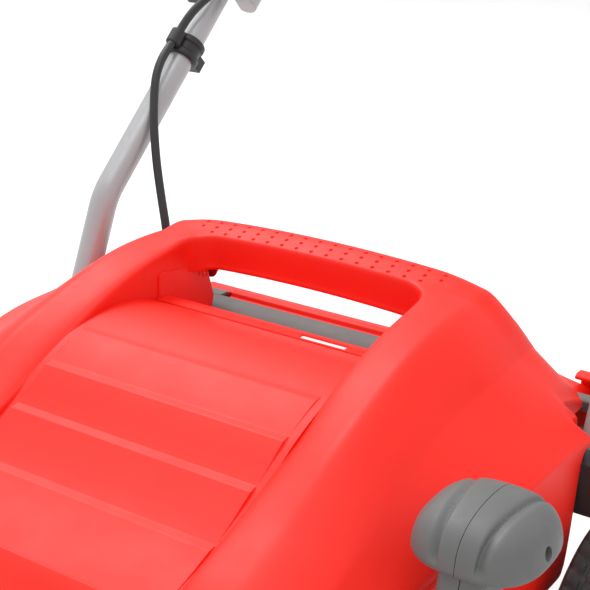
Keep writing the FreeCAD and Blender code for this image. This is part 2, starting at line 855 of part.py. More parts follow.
def ribbed_cover_shape():
    """A plate along the cover line, stepped like shingles, with a flange down at the rear."""
    base = float(cover_height)
    step = float(dim.rib_step)
    wall = float(dim.shell)
    line = cover_line()
    top = []
    for i, (y, z) in enumerate(line):
        if 0 < i < 5:
            top.append((y - 0.5, base + z - step))
            top.append((y + 0.5, base + z))
        else:
            top.append((y, base + z))
    rear = float(dim.bar_front) + 4
    top.append((rear, base - 22))
    top.append((rear + 11, base - 29))
    bottom = [(y, z - wall - step) for y, z in reversed(top)]
    half = float(dim.window_half) - float(dim.moulding_gap)
    return prism(top + bottom, -half, half)


keep("ribbed_cover", solid("ribbed_cover", one(ribbed_cover_shape())))


def nose_panel_shape():
    half = float(dim.window_half) - float(dim.moulding_gap)
    gap = float(dim.moulding_gap)
    room = box_at(-half, half, -500, float(nose_seam) - gap, float(nose_low) + gap, 600)
    return hood_skin()[1].common(room)


keep("nose_panel", solid("nose_panel", one(nose_panel_shape())))

# ---------------------------------------------------------------- rear flap and its rail
hinge_y = dim.bar_front + 51
hinge_z = cover_height - 39
barrel = 6.5
trunnion = 12


def flap_rail_shape():
    """The grey rail across the bay, with an ear and a trunnion at each end for the flap."""
    base = float(cover_height)
    y0 = float(dim.bar_front) + 16
    y1 = float(hinge_y) - barrel - 1
    half = float(dim.flap_half) + 2.6
    section = [
        (y0, base - 45),
        (y0, base - 33),
        (y0 + 4, base - 31),
        (y1, base - 30),
        (y1, base - 36),
        (y0 + 6, base - 38),
        (y0 + 6, base - 45),
    ]
    whole = prism(section, -half, half)
    for side in (-1, 1):
        inside, outside = side * (float(dim.flap_half) + 0.6), side * half
        x0, x1 = sorted((inside, outside))
        ear = strap(x0, x1, y0 + 10, base - 35, 4.5, hinge_y, hinge_z, 6)
        x0, x1 = sorted((side * (float(dim.flap_half) - trunnion), outside))
        whole = whole.fuse(ear).fuse(bar_x(dim.flap_pin_radius, x0, x1, hinge_y, hinge_z))
    return whole


keep("flap_rail", solid("flap_rail", one(flap_rail_shape())))


def rear_flap_shape():
    """A raised lip along the hinge, a short roof, and a wall that hangs over the discharge."""
    base = float(cover_height)
    y, z = float(hinge_y), float(hinge_z)
    rear = float(dim.tail_reach)
    wall = float(dim.flap_thick)
    low = float(dim.rear_wheel_radius) + 8
    outer = [
        (y, z + 6),
        (y + 3, base - 29),
        (y + 9, base - 29),
        (y + 13, base - 35),
        (rear + 2, base - 38),
        (rear + 7, base - 45),
        (rear + 13, low),
    ]
    inner = [
        (rear + 13 - wall, low),
        (rear + 7 - wall, base - 46),
        (rear + 1, base - 38 - wall),
        (y + 12, base - 35 - wall),
        (y + 7, base - 33),
        (y + 6, z),
    ]
    half = float(dim.flap_half)
    whole = prism(outer + inner, -half, half).fuse(bar_x(barrel, -half, half, y, z))
    bore = float(dim.flap_pin_radius) + float(dim.running_gap)
    for side in (-1, 1):
        x0, x1 = sorted((side * (half - trunnion - 1), side * (half + 1)))
        whole = whole.cut(bar_x(bore, x0, x1, y, z))
    return whole


keep("rear_flap", solid("rear_flap", one(rear_flap_shape())))

# ---------------------------------------------------------------- handlebar layout
run_y, run_z = math.cos(slope), math.sin(slope)
grip_run = (float(dim.grip_height) - float(bend_height)) / run_z
fold_run = float(dim.fold_reach)
upper_out = tube_out - dim.tube_radius * 2 - dim.joint_gap


def on_handle(x, run, over=0.0):
    """A point beside the handle: run from the bend along the slope, and over square to it."""
    run, over = float(run), float(over)
    y = float(dim.bend_back) + run * run_y - over * run_z
    z = float(bend_height) + run * run_z + over * run_y
    return Vector(float(x), y, z)


def tilted(shape, run):
    """Turns a shape made with Y along the handle and Z square to it, and sets it at a run."""
    shape = shape.copy()
    shape.rotate(Vector(0, 0, 0), Vector(1, 0, 0), float(dim.handle_slope))
    shape.translate(on_handle(0, run))
    return shape


fold = on_handle(0, fold_run)

# ---------------------------------------------------------------- lower tubes
foot_end = Vector(
    0,
    float(dim.bend_back) - float(dim.foot_length) * math.cos(foot),
    float(bend_height) - float(dim.foot_length) * math.sin(foot),
)


def lower_tube_path(x, extra=0.0):
    out = Vector(float(x), 0, 0)
    down = Vector(0, -math.cos(foot), -math.sin(foot))
    top = on_handle(x, fold_run + float(dim.tube_overlap))
    return rounded_path([foot_end + out + down * extra, on_handle(x, 0), top], radius=60)[0]


def lower_tube_shape(x):
    tube = hollow_pipe(lower_tube_path(x), float(dim.tube_radius), float(dim.tube_wall))
    reach = float(dim.tube_radius) + 1
    hole = bar_x(dim.fold_bolt_radius, float(x) - reach, float(x) + reach, fold.y, fold.z)
    return tube.cut(hole)


for side, name in ((1, "left"), (-1, "right")):
    x = side * float(tube_out)
    keep(f"lower_tube_{name}", solid(f"lower_tube_{name}", lower_tube_shape(x)))

socket_out = tube_out + dim.tube_radius + 0.2
socket_low = cover_height - 86


def socket_shape(side):
    """A block bolted outside a side plate, bored for the foot of the handle tube."""
    x0, x1 = sorted((side * float(plate_out), side * float(socket_out)))
    y0 = foot_end.y - 20
    whole = box_at(x0, x1, y0, y0 + 52, socket_low, float(socket_low) + 40)
    down = Vector(0, -math.cos(foot), -math.sin(foot))
    start = foot_end + Vector(side * float(tube_out), 0, 0)
    whole = whole.cut(Part.makeCylinder(float(dim.tube_radius), 200, start, down * -1))
    for y in bolt_places:
        x0, x1 = sorted((side * float(plate_out), side * (float(plate_out) + 14)))
        whole = whole.cut(bar_x(dim.fastener_radius, x0, x1, y, beam_low + 15))
    return whole


keep("tube_socket_left", solid("tube_socket_left", one(socket_shape(1))))
keep("tube_socket_right", solid("tube_socket_right", one(socket_shape(-1))))


def deck_bolts_shape():
    """Two bolts through each side plate into beam and socket, and one into each tie bar end."""
    bolts = []
    for side in (-1, 1):
        for y in bolt_places:
            x0, x1 = sorted((side * (float(plate_in) - 10), side * (float(plate_out) + 12)))
            bolts.append(bar_x(dim.fastener_radius, x0, x1, y, beam_low + 15))
        x0, x1 = sorted((side * (float(plate_in) - 18), side * (float(plate_out) + 1)))
        shank = bar_x(dim.fastener_radius, x0, x1, tie_y, tie_z)
        x0, x1 = sorted((side * float(plate_out), side * (float(plate_out) + 4)))
        head = bar_x(float(dim.fastener_radius) + 3, x0, x1, tie_y, tie_z)
        bolts.append(one(shank.fuse(head)))
    return Part.makeCompound(bolts)


keep("deck_bolts", solid("deck_bolts", deck_bolts_shape()))

# ---------------------------------------------------------------- wheels
bore = dim.axle_radius + dim.running_gap
rim_radius = dim.rear_wheel_radius - dim.tyre_depth
rim_ring = rim_radius - 6
rim_hub = dim.axle_radius + 9
wide = dim.rear_wheel_width
rim_profile = [
    (0, bore),
    (wide, bore),
    (wide, rim_hub),
    (wide / 2 + 3, rim_hub + 2),
    (wide / 2 + 3, rim_ring),
    (wide, rim_ring),
    (wide, rim_radius),
    (0, rim_radius),
    (0, rim_ring),
    (wide / 2 - 3, rim_ring),
    (wide / 2 - 3, rim_hub + 2),
    (0, rim_hub),
]
tyre_profile = [
    (0, rim_radius),
    (wide, rim_radius),
    (wide, dim.rear_wheel_radius - 4),
    (wide - 5, dim.rear_wheel_radius),
    (5, dim.rear_wheel_radius),
    (0, dim.rear_wheel_radius - 4),
]
for name, x in (("left", wheel_in), ("right", -wheel_out)):
    at = (x, dim.rear_axle_back, dim.rear_wheel_radius)
    keep(f"rear_rim_{name}", turned(f"rear_rim_{name}", rim_profile, *at))
    keep(f"rear_tyre_{name}", turned(f"rear_tyre_{name}", tyre_profile, *at))

axle_end = wheel_out + 4
axle_at = (dim.rear_axle_back, dim.rear_wheel_radius)
axle_bar = rod("rear_axle_bar", dim.axle_radius, axle_end * 2, -axle_end, *axle_at)
axle_caps = [
    rod("rear_axle_cap_left", dim.axle_radius + 4, 3, wheel_out + 0.6, *axle_at),
    rod("rear_axle_cap_right", dim.axle_radius + 4, 3, -(wheel_out + 3.6), *axle_at),
]
keep("rear_axle", fuse("rear_axle", axle_bar, *axle_caps))

front_in = arm_out + 4
front_out = front_in + dim.front_wheel_width
front_ring = dim.front_wheel_radius - dim.tyre_depth
slim = dim.front_wheel_width
front_profile = [
    (0, bore),
    (slim, bore),
    (slim, rim_hub),
    (slim / 2 + 3, rim_hub + 2),
    (slim / 2 + 3, front_ring),
    (slim, front_ring),
    (slim, dim.front_wheel_radius - 3),
    (slim - 4, dim.front_wheel_radius),
    (4, dim.front_wheel_radius),
    (0, dim.front_wheel_radius - 3),
    (0, front_ring),
    (slim / 2 - 3, front_ring),
    (slim / 2 - 3, rim_hub + 2),
    (0, rim_hub),
]
front_at = (-front_wheel_ahead, dim.front_wheel_radius)
keep("front_wheel_left", turned("front_wheel_left", front_profile, front_in, *front_at))
keep("front_wheel_right", turned("front_wheel_right", front_profile, -front_out, *front_at))

# ---------------------------------------------------------------- height adjustment
lever_hub = 9
shaft_right = arm_out
shaft_left = lever_out + lever_hub + 1
keep(
    "cranked_shaft",
    rod("cranked_shaft", dim.axle_radius, shaft_left + shaft_right, -shaft_right, pivot_y, pivot_height),
)


def swing_arm_shape(side):
    """An arm from the cranked shaft to a front wheel, with the stub that the wheel turns on."""
    x0, x1 = sorted((side * float(arm_in), side * float(arm_out)))
    arm = strap(x0, x1, pivot_y, pivot_height, 13, *front_at, 11)
    arm = arm.cut(bar_x(dim.axle_radius, x0 - 1, x1 + 1, pivot_y, pivot_height))
    x0, x1 = sorted((side * float(arm_in), side * (float(front_out) + 4)))
    arm = arm.fuse(bar_x(dim.axle_radius, x0, x1, *front_at))
    x0, x1 = sorted((side * (float(front_out) + 0.6), side * (float(front_out) + 3.6)))
    return one(arm.fuse(bar_x(float(dim.axle_radius) + 3, x0, x1, *front_at)))


keep("swing_arm_left", solid("swing_arm_left", swing_arm_shape(1)))
keep("swing_arm_right", solid("swing_arm_right", swing_arm_shape(-1)))


def quadrant_shape():
    """A notched sector on two stand-offs behind the lever's hub."""
    y, z = float(pivot_y), float(pivot_height)
    x0 = float(arm_out) + 1.6
    x1 = x0 + 3

    def at(radius, degrees):
        angle = math.radians(degrees)
        return Vector(x0, y + radius * math.cos(angle), z + radius * math.sin(angle))

    inner, outer = 18, 35
    edges = [
        Part.Arc(at(inner, -52), at(inner, -10), at(inner, 32)).toShape(),
        Part.LineSegment(at(inner, 32), at(outer, 32)).toShape(),
        Part.Arc(at(outer, 32), at(outer, -10), at(outer, -52)).toShape(),
        Part.LineSegment(at(outer, -52), at(inner, -52)).toShape(),
    ]
    sector = Part.Face(Part.Wire(edges)).extrude(Vector(x1 - x0, 0, 0))
    for step in range(-2, 3):
        notch = at(outer, -10 + step * 13)
        sector = sector.cut(bar_x(2.5, x0 - 1, x1 + 1, notch.y, notch.z))
    for degrees in (-42, 20):
        post = at(26, degrees)
        sector = sector.fuse(bar_x(4.5, plate_out, x1, post.y, post.z))
    return one(sector)


keep("height_quadrant", solid("height_quadrant", quadrant_shape()))

knob_y = pivot_y + 41
knob_z = pivot_height + 100
knob_half = (42, 43, 20)
stem_top = (pivot_y + 24, pivot_height + 84)
screw_at = (knob_y - 4, knob_z - 1)


def lever_stem_shape():
    x = float(lever_out)
    hub = bar_x(13, x - lever_hub, x + lever_hub, pivot_y, pivot_height)
    stem = strap(x - 5, x + 5, pivot_y, pivot_height, 11, *stem_top, 7)
    return one(hub.fuse(stem).cut(bar_x(dim.axle_radius, x - 20, x + 20, pivot_y, pivot_height)))


lever_stem = lever_stem_shape()
keep("lever_stem", solid("lever_stem", lever_stem))


def knob_shape():
    """A broad mushroom grip with a sleeve down the lever's stem."""
    x = float(lever_out)
    ball = Part.makeSphere(1, Vector(0, 0, 0), Vector(1, 0, 0))
    scale = FreeCAD.Matrix()
    scale.scale(*knob_half)
    ball = ball.transformGeometry(scale)
    ball.translate(vec(x, knob_y, knob_z))
    sleeve = strap(x - 15, x + 15, pivot_y + 14, pivot_height + 52, 16, stem_top[0], stem_top[1], 18)
    return ball.fuse(sleeve).cut(lever_stem)


def knob_screw_shape():
    x = float(lever_out)
    shank = bar_x(2, x - 20, x + 26, *screw_at)
    head = bar_x(4, x + 24, x + 28, *screw_at)
    return one(shank.fuse(head))


knob = knob_shape().cut(knob_screw_shape())
knob = knob.cut(bar_x(5, float(lever_out) + 28, float(lever_out) + 80, *screw_at))
split = float(lever_out)
keep("knob_inner", solid("knob_inner", one(knob.common(box_at(split - 99, split, -400, 400, 0, 900)))))
keep("knob_outer", solid("knob_outer", one(knob.common(box_at(split, split + 99, -400, 400, 0, 900)))))
keep("knob_screw", solid("knob_screw", knob_screw_shape()))

# ---------------------------------------------------------------- upper handle
grip_at = on_handle(0, grip_run)
upper_start = fold_run - float(dim.tube_overlap)


def upper_handle_shape():
    side = float(upper_out)
    corners = [
        on_handle(-side, upper_start),
        on_handle(-side, grip_run),
        on_handle(side, grip_run),
        on_handle(side, upper_start),
    ]
    path = rounded_path(corners, radius=float(dim.corner_radius))[0]
    tube = hollow_pipe(path, float(dim.tube_radius), float(dim.tube_wall))
    hole = float(dim.fold_bolt_radius) + float(dim.running_gap)
    for x in (-side, side):
        reach = float(dim.tube_radius) + 1
        tube = tube.cut(bar_x(hole, x - reach, x + reach, fold.y, fold.z))
    return tube


keep("upper_handle", solid("upper_handle", upper_handle_shape()))


def fold_bolts_shape():
    """At each fold joint: a bolt head inside, its shank, and a winged knob outside."""
    bolts = []
    for side in (-1, 1):
        inside = float(upper_out) - float(dim.tube_radius)
        outside = float(tube_out) + float(dim.tube_radius)

        def bar(radius, a, b):
            x0, x1 = sorted((side * a, side * b))
            return bar_x(radius, x0, x1, fold.y, fold.z)

        shank = bar(float(dim.fold_bolt_radius), inside - 5, outside + 10)
        head = bar(8, inside - 5, inside - 0.4)
        knob = bar(13, outside + 0.4, outside + 18)
        x0, x1 = sorted((side * (outside + 4), side * (outside + 18)))
        wing = Part.makeBox(x1 - x0, 52, 8, Vector(x0, -26, -4))
        wing = tilted(wing, fold_run)
        bolts.append(one(shank.fuse(head).fuse(knob).fuse(wing)))
    return Part.makeCompound(bolts)


keep("fold_bolts", solid("fold_bolts", fold_bolts_shape()))


def joint_spacers_shape():
    rings = []
    for side in (-1, 1):
        low = float(upper_out) + float(dim.tube_radius) + 0.3
        high = float(tube_out) - float(dim.tube_radius)
        x0, x1 = sorted((side * low, side * high))
        ring = bar_x(10, x0, x1, fold.y, fold.z)
        rings.append(ring.cut(bar_x(dim.fold_bolt_radius, x0 - 1, x1 + 1, fold.y, fold.z)))
    return Part.makeCompound(rings)


keep("joint_spacers", solid("joint_spacers", joint_spacers_shape()))

grip_x0 = -48
grip_x1 = 146
grip_outer = bar_x(float(dim.tube_radius) + float(dim.grip_wall), grip_x0, grip_x1, grip_at.y, grip_at.z)
grip_bore = bar_x(dim.tube_radius, grip_x0 - 1, grip_x1 + 1, grip_at.y, grip_at.z)
keep("foam_grip", solid("foam_grip", grip_outer.cut(grip_bore)))

# The switch box sits round the cross bar. Its own layout has Y up the slope and Z square to it.
switch_x0, switch_x1 = -146, -60
bail_y, bail_z = -36, 16
button_x, button_y = -104, -14
button_travel = 4


def switch_box_shape():
    case = box_at(switch_x0, switch_x1, -45, 28, -30, 30)
    case = case.makeFillet(8, case.Edges)
    case = case.fuse(Part.makeCone(10, 7, 16, Vector(-104, 26, 0), Vector(0, 1, 0)))
    case = case.cut(bar_x(dim.tube_radius, -300, 300, 0, 0))
    pin = float(dim.fold_bolt_radius) + float(dim.running_gap)
    case = case.cut(bar_x(pin, switch_x1 - 14, switch_x1 + 1, bail_y, bail_z))
    button_hole = Part.makeCylinder(8.05, 30, Vector(button_x, button_y, 17))
    return tilted(one(case.cut(button_hole)), grip_run)


keep("switch_box", solid("switch_box", switch_box_shape()))


def switch_lever_shape():
    """An arm beside the switch box and a bar in front of the grip."""
    arm = strap(switch_x1 + 0.5, switch_x1 + 8, bail_y, bail_z, 8, 2, 54, 6)
    pin = bar_x(dim.fold_bolt_radius, switch_x1 - 12, switch_x1 + 1, bail_y, bail_z)
    bar = bar_x(5.5, switch_x1 + 0.5, 90, 2, 54)
    return tilted(one(arm.fuse(pin).fuse(bar)), grip_run)


keep("switch_lever", solid("switch_lever", switch_lever_shape()))
button = Part.makeCylinder(8, 14, Vector(button_x, button_y, 22))
keep("safety_button", solid("safety_button", tilted(button, grip_run)))

# ---------------------------------------------------------------- motor cable
beside = -(float(upper_out) + float(dim.tube_radius) + float(dim.joint_gap) / 2)
lift = float(dim.tube_radius) + float(dim.cable_radius) + 3
clip_run = fold_run - 85
shoulder_top = float(cover_height) - 20
lower_route = [
    on_handle(beside, fold_run, lift + 2.5),
    on_handle(beside, fold_run - 26, lift + 2.5),
    on_handle(beside - 12, fold_run - 55, lift + 5.5),
    on_handle(-float(tube_out), clip_run + 2, lift + 0.8),
    Vector(-246, 302, 416),
    Vector(-235, 282, 382),
    Vector(-222, 267, 343),
    Vector(-206, 254, 306),
    Vector(float(cable_x), float(cable_y) + 1, 276),
    Vector(float(cable_x), float(cable_y), shoulder_top - 12),
]
upper_route = [
    on_handle(beside, fold_run, lift + 2.5),
    on_handle(beside, fold_run + 26, lift + 2.5),
    on_handle(-float(upper_out) - 5, fold_run + 58, lift + 2),
    on_handle(-float(upper_out), fold_run + 100, lift),
    on_handle(-float(upper_out), grip_run - 188, lift + 1),
    on_handle(-float(upper_out) + 6, grip_run - 150, lift),
    on_handle(-float(upper_out) + 31, grip_run - 118, 17),
    on_handle(-float(upper_out) + 59, grip_run - 100, 12),
    on_handle(switch_x0 + 11, grip_run - 74, 6),
    on_handle(switch_x0 + 11, grip_run - 45, 6),
]


def cable_shape(name, route):
    path, radii = rounded_path(route)
    print(f"{name}: length {path.Length:.0f}, arc radii {[round(r) for r in radii]}")
    return pipe(path, float(dim.cable_radius))


cable_lower = cable_shape("cable_lower", lower_route)
cable_upper = cable_shape("cable_upper", upper_route)
keep("cable_lower", solid("cable_lower", cable_lower))
keep("cable_upper", solid("cable_upper", cable_upper))


def clip_shape(x, run, cable, width=22):
    """A ring round a handle tube with a smaller ring that holds the cable, and a latch."""
    half = width / 2
    ring = Part.makeCylinder(float(dim.tube_radius) + 3.5, width, Vector(x, -half, 0), Vector(0, 1, 0))
    hook_at = Vector(x, 3 - half, lift)
    hook = Part.makeCylinder(float(dim.cable_radius) + 3, width - 6, hook_at, Vector(0, 1, 0))
    latch = box_at(x - 7, x + 7, -half + 5, half - 5, -float(dim.tube_radius) - 12, -float(dim.tube_radius))
    tube = Part.makeCylinder(float(dim.tube_radius), 60, Vector(x, -30, 0), Vector(0, 1, 0))
    return one(tilted(ring.fuse(hook).fuse(latch).cut(tube), run).cut(cable))


keep("cable_clip", solid("cable_clip", clip_shape(-float(tube_out), clip_run, cable_lower)))
keep("upper_clip", solid("upper_clip", clip_shape(-float(upper_out), fold_run + 330, cable_upper)))


def grommet_shape():
    """A sleeve through the hood's shoulder with a collar on top."""
    low = shoulder_top - 16
    base = vec(cable_x, cable_y, low)
    sleeve = Part.makeCylinder(float(grommet_radius), 26, base)
    return sleeve.cut(cable_lower)


keep("cable_grommet", solid("cable_grommet", one(grommet_shape())))

# ---------------------------------------------------------------- check and write
doc.recompute()
for item in doc.Objects:
    if "Invalid" in item.State or "Error" in item.State:
        raise RuntimeError(f"{item.Name} failed: {item.State}")
os.makedirs("parts", exist_ok=True)
for node, item in pieces.items():
    if item.Shape.isNull() or not item.Shape.isValid():
        raise RuntimeError(f"{node} has no valid shape")
    item.Shape.exportStep(os.path.join("parts", f"{node}.step"))
print(f"{len(pieces)} pieces written")
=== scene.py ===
import json
import math

import bmesh
import bpy
import numpy as np
from mathutils import Matrix, Vector
from mathutils.bvhtree import BVHTree


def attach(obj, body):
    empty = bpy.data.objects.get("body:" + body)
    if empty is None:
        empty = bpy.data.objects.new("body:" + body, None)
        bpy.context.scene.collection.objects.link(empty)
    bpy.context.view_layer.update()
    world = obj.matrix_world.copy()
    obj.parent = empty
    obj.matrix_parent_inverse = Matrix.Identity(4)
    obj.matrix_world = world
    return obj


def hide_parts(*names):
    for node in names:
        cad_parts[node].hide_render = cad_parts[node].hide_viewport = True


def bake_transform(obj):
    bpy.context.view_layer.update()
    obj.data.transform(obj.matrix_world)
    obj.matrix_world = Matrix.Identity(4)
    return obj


# An electric reel mower's looks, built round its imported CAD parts. Lengths in the tables below are
# millimetres from the deck's own zero, on the ground under the ribbed cover's second rib from the back;
# place() turns them into the frame's metres.

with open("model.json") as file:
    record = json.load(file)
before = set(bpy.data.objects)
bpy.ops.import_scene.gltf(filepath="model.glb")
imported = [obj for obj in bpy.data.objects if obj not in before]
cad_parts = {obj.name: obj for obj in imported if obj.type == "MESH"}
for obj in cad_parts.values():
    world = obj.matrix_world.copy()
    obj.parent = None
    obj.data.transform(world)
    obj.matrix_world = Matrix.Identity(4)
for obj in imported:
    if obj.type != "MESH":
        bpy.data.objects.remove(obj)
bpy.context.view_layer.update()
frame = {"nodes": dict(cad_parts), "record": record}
MM = 0.001
ORIGIN_BACK = 0.397
COVER = 272
SIDES = ((1, "left"), (-1, "right"))


def place(x, y, z):
    return Vector((x * MM, y * MM - ORIGIN_BACK, z * MM))


# ---------------------------------------------------------------- materials
def linear(*rgb):
    """Linear colour from an 8-bit display colour."""
    out = []
    for value in rgb:
        share = value / 255
        out.append(share / 12.92 if share <= 0.04045 else ((share + 0.055) / 1.055) ** 2.4)
    return (*out, 1.0)


def scaled(colour, factor):
    return (*[min(1.0, c * factor) for c in colour[:3]], 1.0)


def material(name, colour, spread=0.06, patch=14, rough=0.45, rough_spread=0.08, grain=900, bump=0.12,
             depth=0.0002, metallic=0.0, stretch=(1, 1, 1), coat=0.0, sheen=0.0, specular=0.5, dust=0.0,
             wear=0.0):
    """A surface whose colour drifts in patches, with its own grain in roughness and bump."""
    made = bpy.data.materials.new(name)
    made.use_nodes = True
    nodes, links = made.node_tree.nodes, made.node_tree.links
    shader = nodes["Principled BSDF"]
    for socket, value in (("Metallic", metallic), ("Coat Weight", coat), ("Coat Roughness", 0.25),
                          ("Sheen Weight", sheen), ("IOR", 1.46), ("Specular IOR Level", specular)):
        shader.inputs[socket].default_value = value
    place_node = nodes.new("ShaderNodeTexCoord")
    mapping = nodes.new("ShaderNodeMapping")
    mapping.inputs["Scale"].default_value = stretch
    links.new(place_node.outputs["Object"], mapping.inputs["Vector"])

    def noise(scale, detail, roughness=0.55):
        node = nodes.new("ShaderNodeTexNoise")
        node.inputs["Scale"].default_value = scale
        node.inputs["Detail"].default_value = detail
        node.inputs["Roughness"].default_value = roughness
        links.new(mapping.outputs["Vector"], node.inputs["Vector"])
        return node.outputs["Fac"]

    def ranged(value, low, high, start=0.35, end=0.65):
        node = nodes.new("ShaderNodeMapRange")
        for socket, setting in (("From Min", start), ("From Max", end), ("To Min", low), ("To Max", high)):
            node.inputs[socket].default_value = setting
        links.new(value, node.inputs["Value"])
        return node.outputs["Result"]

    def mixed(amount, first, second):
        node = nodes.new("ShaderNodeMix")
        node.data_type = "RGBA"
        links.new(amount, node.inputs["Factor"])
        for socket, value in ((node.inputs["A"], first), (node.inputs["B"], second)):
            if isinstance(value, tuple):
                socket.default_value = value
            else:
                links.new(value, socket)
        return node.outputs["Result"]

    patches = ranged(noise(patch, 3), 0, 1)
    tint = mixed(patches, scaled(colour, 1 - spread), scaled(colour, 1 + spread))
    speckle = ranged(noise(grain * 0.35, 4), 0, spread * 2.2)
    tint = mixed(speckle, tint, scaled(colour, 1.25))
    if dust:
        tint = mixed(ranged(noise(patch * 3.1, 6), 0, dust, 0.5, 0.75), tint, (0.32, 0.29, 0.24, 1))
    if wear:
        geometry = nodes.new("ShaderNodeNewGeometry")
        edge = ranged(geometry.outputs["Pointiness"], 0, wear, 0.51, 0.57)
        tint = mixed(edge, tint, scaled(colour, 1.9))
    links.new(tint, shader.inputs["Base Color"])
    gloss = ranged(noise(patch * 5, 5), rough - rough_spread, rough + rough_spread)
    links.new(gloss, shader.inputs["Roughness"])
    relief = nodes.new("ShaderNodeBump")
    relief.inputs["Strength"].default_value = bump
    relief.inputs["Distance"].default_value = depth
    links.new(noise(grain, 3, 0.6), relief.inputs["Height"])
    links.new(relief.outputs["Normal"], shader.inputs["Normal"])
    return made


MATERIALS = {
    "red_moulding": material("red_moulding", linear(236, 30, 14), spread=0.03, patch=7, rough=0.5,
                             rough_spread=0.02, grain=1500, bump=0.10, depth=0.00015, specular=0.35),
    "grey_moulding": material("grey_moulding", linear(96, 97, 96), spread=0.05, rough=0.52, grain=1300,
                              bump=0.2, wear=0.25),
    "black_moulding": material("black_moulding", linear(34, 34, 35), spread=0.1, rough=0.45, grain=1100,
                               bump=0.2, wear=0.3),
    "dark_wheel": material("dark_wheel", linear(66, 67, 68), spread=0.08, rough=0.55, grain=800, bump=0.25,
                           dust=0.12, wear=0.3),
    "silver_tube": material("silver_tube", linear(166, 167, 169), spread=0.04, rough=0.38, grain=1800,
                            bump=0.12, metallic=0.35, coat=0.15),
    "chassis_steel": material("chassis_steel", linear(58, 60, 62), spread=0.1, rough=0.42, grain=500,
                              bump=0.18, metallic=0.3, dust=0.15, wear=0.4),
    "blade_steel": material("blade_steel", linear(150, 152, 155), spread=0.12, rough=0.33, grain=400,
                            bump=0.25, metallic=0.9, stretch=(0.1, 1, 1), dust=0.1),
    "bright_steel": material("bright_steel", linear(190, 190, 188), spread=0.06, rough=0.25, grain=600,
                             bump=0.15, metallic=1.0, stretch=(0.3, 1, 1)),
    "motor_metal": material("motor_metal", linear(96, 98, 100), spread=0.08, rough=0.4, grain=700, bump=0.2,
                            metallic=0.7),
    "tyre_rubber": material("tyre_rubber", linear(44, 44, 45), spread=0.12, rough=0.72, grain=700, bump=0.4,
                            dust=0.25),
    "belt_rubber": material("belt_rubber", linear(30, 30, 30), spread=0.1, rough=0.75, grain=900, bump=0.4),
    "cable_rubber": material("cable_rubber", linear(40, 40, 42), spread=0.1, rough=0.42, grain=900, bump=0.2),
    "grip_foam": material("grip_foam", linear(42, 42, 43), spread=0.14, rough=0.88, grain=420, bump=0.7,
                          depth=0.0006, sheen=0.15),
    "button_orange": material("button_orange", linear(226, 96, 18), spread=0.05, rough=0.4, grain=1300,
                              bump=0.15),
}
PALE = material("pale_insert", linear(232, 232, 230), spread=0.03, rough=0.5, grain=900, bump=0.1)

for slot_row in frame["record"]["subparts"]:
    node = frame["nodes"][slot_row["node"]]
    node.data.materials.clear()
    node.data.materials.append(MATERIALS[slot_row["material_slot"]])


# ---------------------------------------------------------------- piece making
def finish_piece(obj, body, slot, replaced=(), look=None):
    """Gives a piece its finish and its body, and hides the CAD nodes it stands for."""
    obj.data.materials.clear()
    obj.data.materials.append(look or MATERIALS[slot])
    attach(obj, body)
    if replaced:
        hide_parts(*replaced)
    return obj


def linked(name, data):
    """A new object in the scene."""
    obj = bpy.data.objects.new(name, data)
    bpy.context.scene.collection.objects.link(obj)
    return obj


def mesh_from(name, verts, faces, angle=35):
    mesh = bpy.data.meshes.new(name)
    mesh.from_pydata([tuple(v) for v in verts], [], faces)
    work = bmesh.new()
    work.from_mesh(mesh)
    bmesh.ops.remove_doubles(work, verts=work.verts, dist=1e-6)
    bmesh.ops.recalc_face_normals(work, faces=work.faces)
    work.to_mesh(mesh)
    work.free()
    obj = linked(name, mesh)
    shade(obj, angle)
    return obj


def shade(obj, angle=35):
    obj.data.shade_smooth()
    obj.data.set_sharp_from_angle(angle=math.radians(angle))


def modifier(obj, kind, name, **settings):
    made = obj.modifiers.new(name, kind)
    for key, value in settings.items():
        setattr(made, key, value)
    return made


def bevel(obj, width, segments=3, angle=30):
    return modifier(obj, "BEVEL", "soft_edges", width=width * MM, segments=segments, limit_method="ANGLE",
                    angle_limit=math.radians(angle))


def apply_all(obj, angle=35):
    """Turns an object's modifiers into mesh."""
    bpy.context.view_layer.update()
    graph = bpy.context.evaluated_depsgraph_get()
    mesh = bpy.data.meshes.new_from_object(obj.evaluated_get(graph))
    obj.modifiers.clear()
    obj.data = mesh
    shade(obj, angle)
    return obj


def cut_away(obj, tools, angle=35):
    """Cuts closed meshes out of an object and deletes them."""
    for tool in tools:
        modifier(obj, "BOOLEAN", "cut", operation="DIFFERENCE", solver="EXACT", object=tool)
    apply_all(obj, angle)
    for tool in tools:
        bpy.data.objects.remove(tool)
    return obj


def grid_faces(rows, columns, wrap=False):
    """Quads of a grid whose vertices were listed row by row."""
    faces = []
    for r in range(rows - 1):
        for c in range(columns if wrap else columns - 1):
            d = (c + 1) % columns
            faces.append((r * columns + c, r * columns + d, (r + 1) * columns + d, (r + 1) * columns + c))
    return faces


def ring_faces(segments, count):
    """Quads of a closed ring made of segments copies of a closed profile."""
    faces = []
    for step in range(segments):
        after = (step + 1) % segments
        for i in range(count):
            j = (i + 1) % count
            faces.append((step * count + i, step * count + j, after * count + j, after * count + i))
    return faces


def prism_faces(count):
    """Sides and both ends between two outlines of count points."""
    faces = [(i, (i + 1) % count, count + (i + 1) % count, count + i) for i in range(count)]
    return faces + [tuple(range(count)), tuple(range(count, 2 * count))]


def circle(radius, u, v, segments):
    """Points round a circle in a plane."""
    turns = [2 * math.pi * i / segments for i in range(segments)]
    return [(u + radius * math.cos(turn), v + radius * math.sin(turn)) for turn in turns]


def span(side, near, far):
    """Two distances out, as X on one side in rising order."""
    return sorted((side * near, side * far))


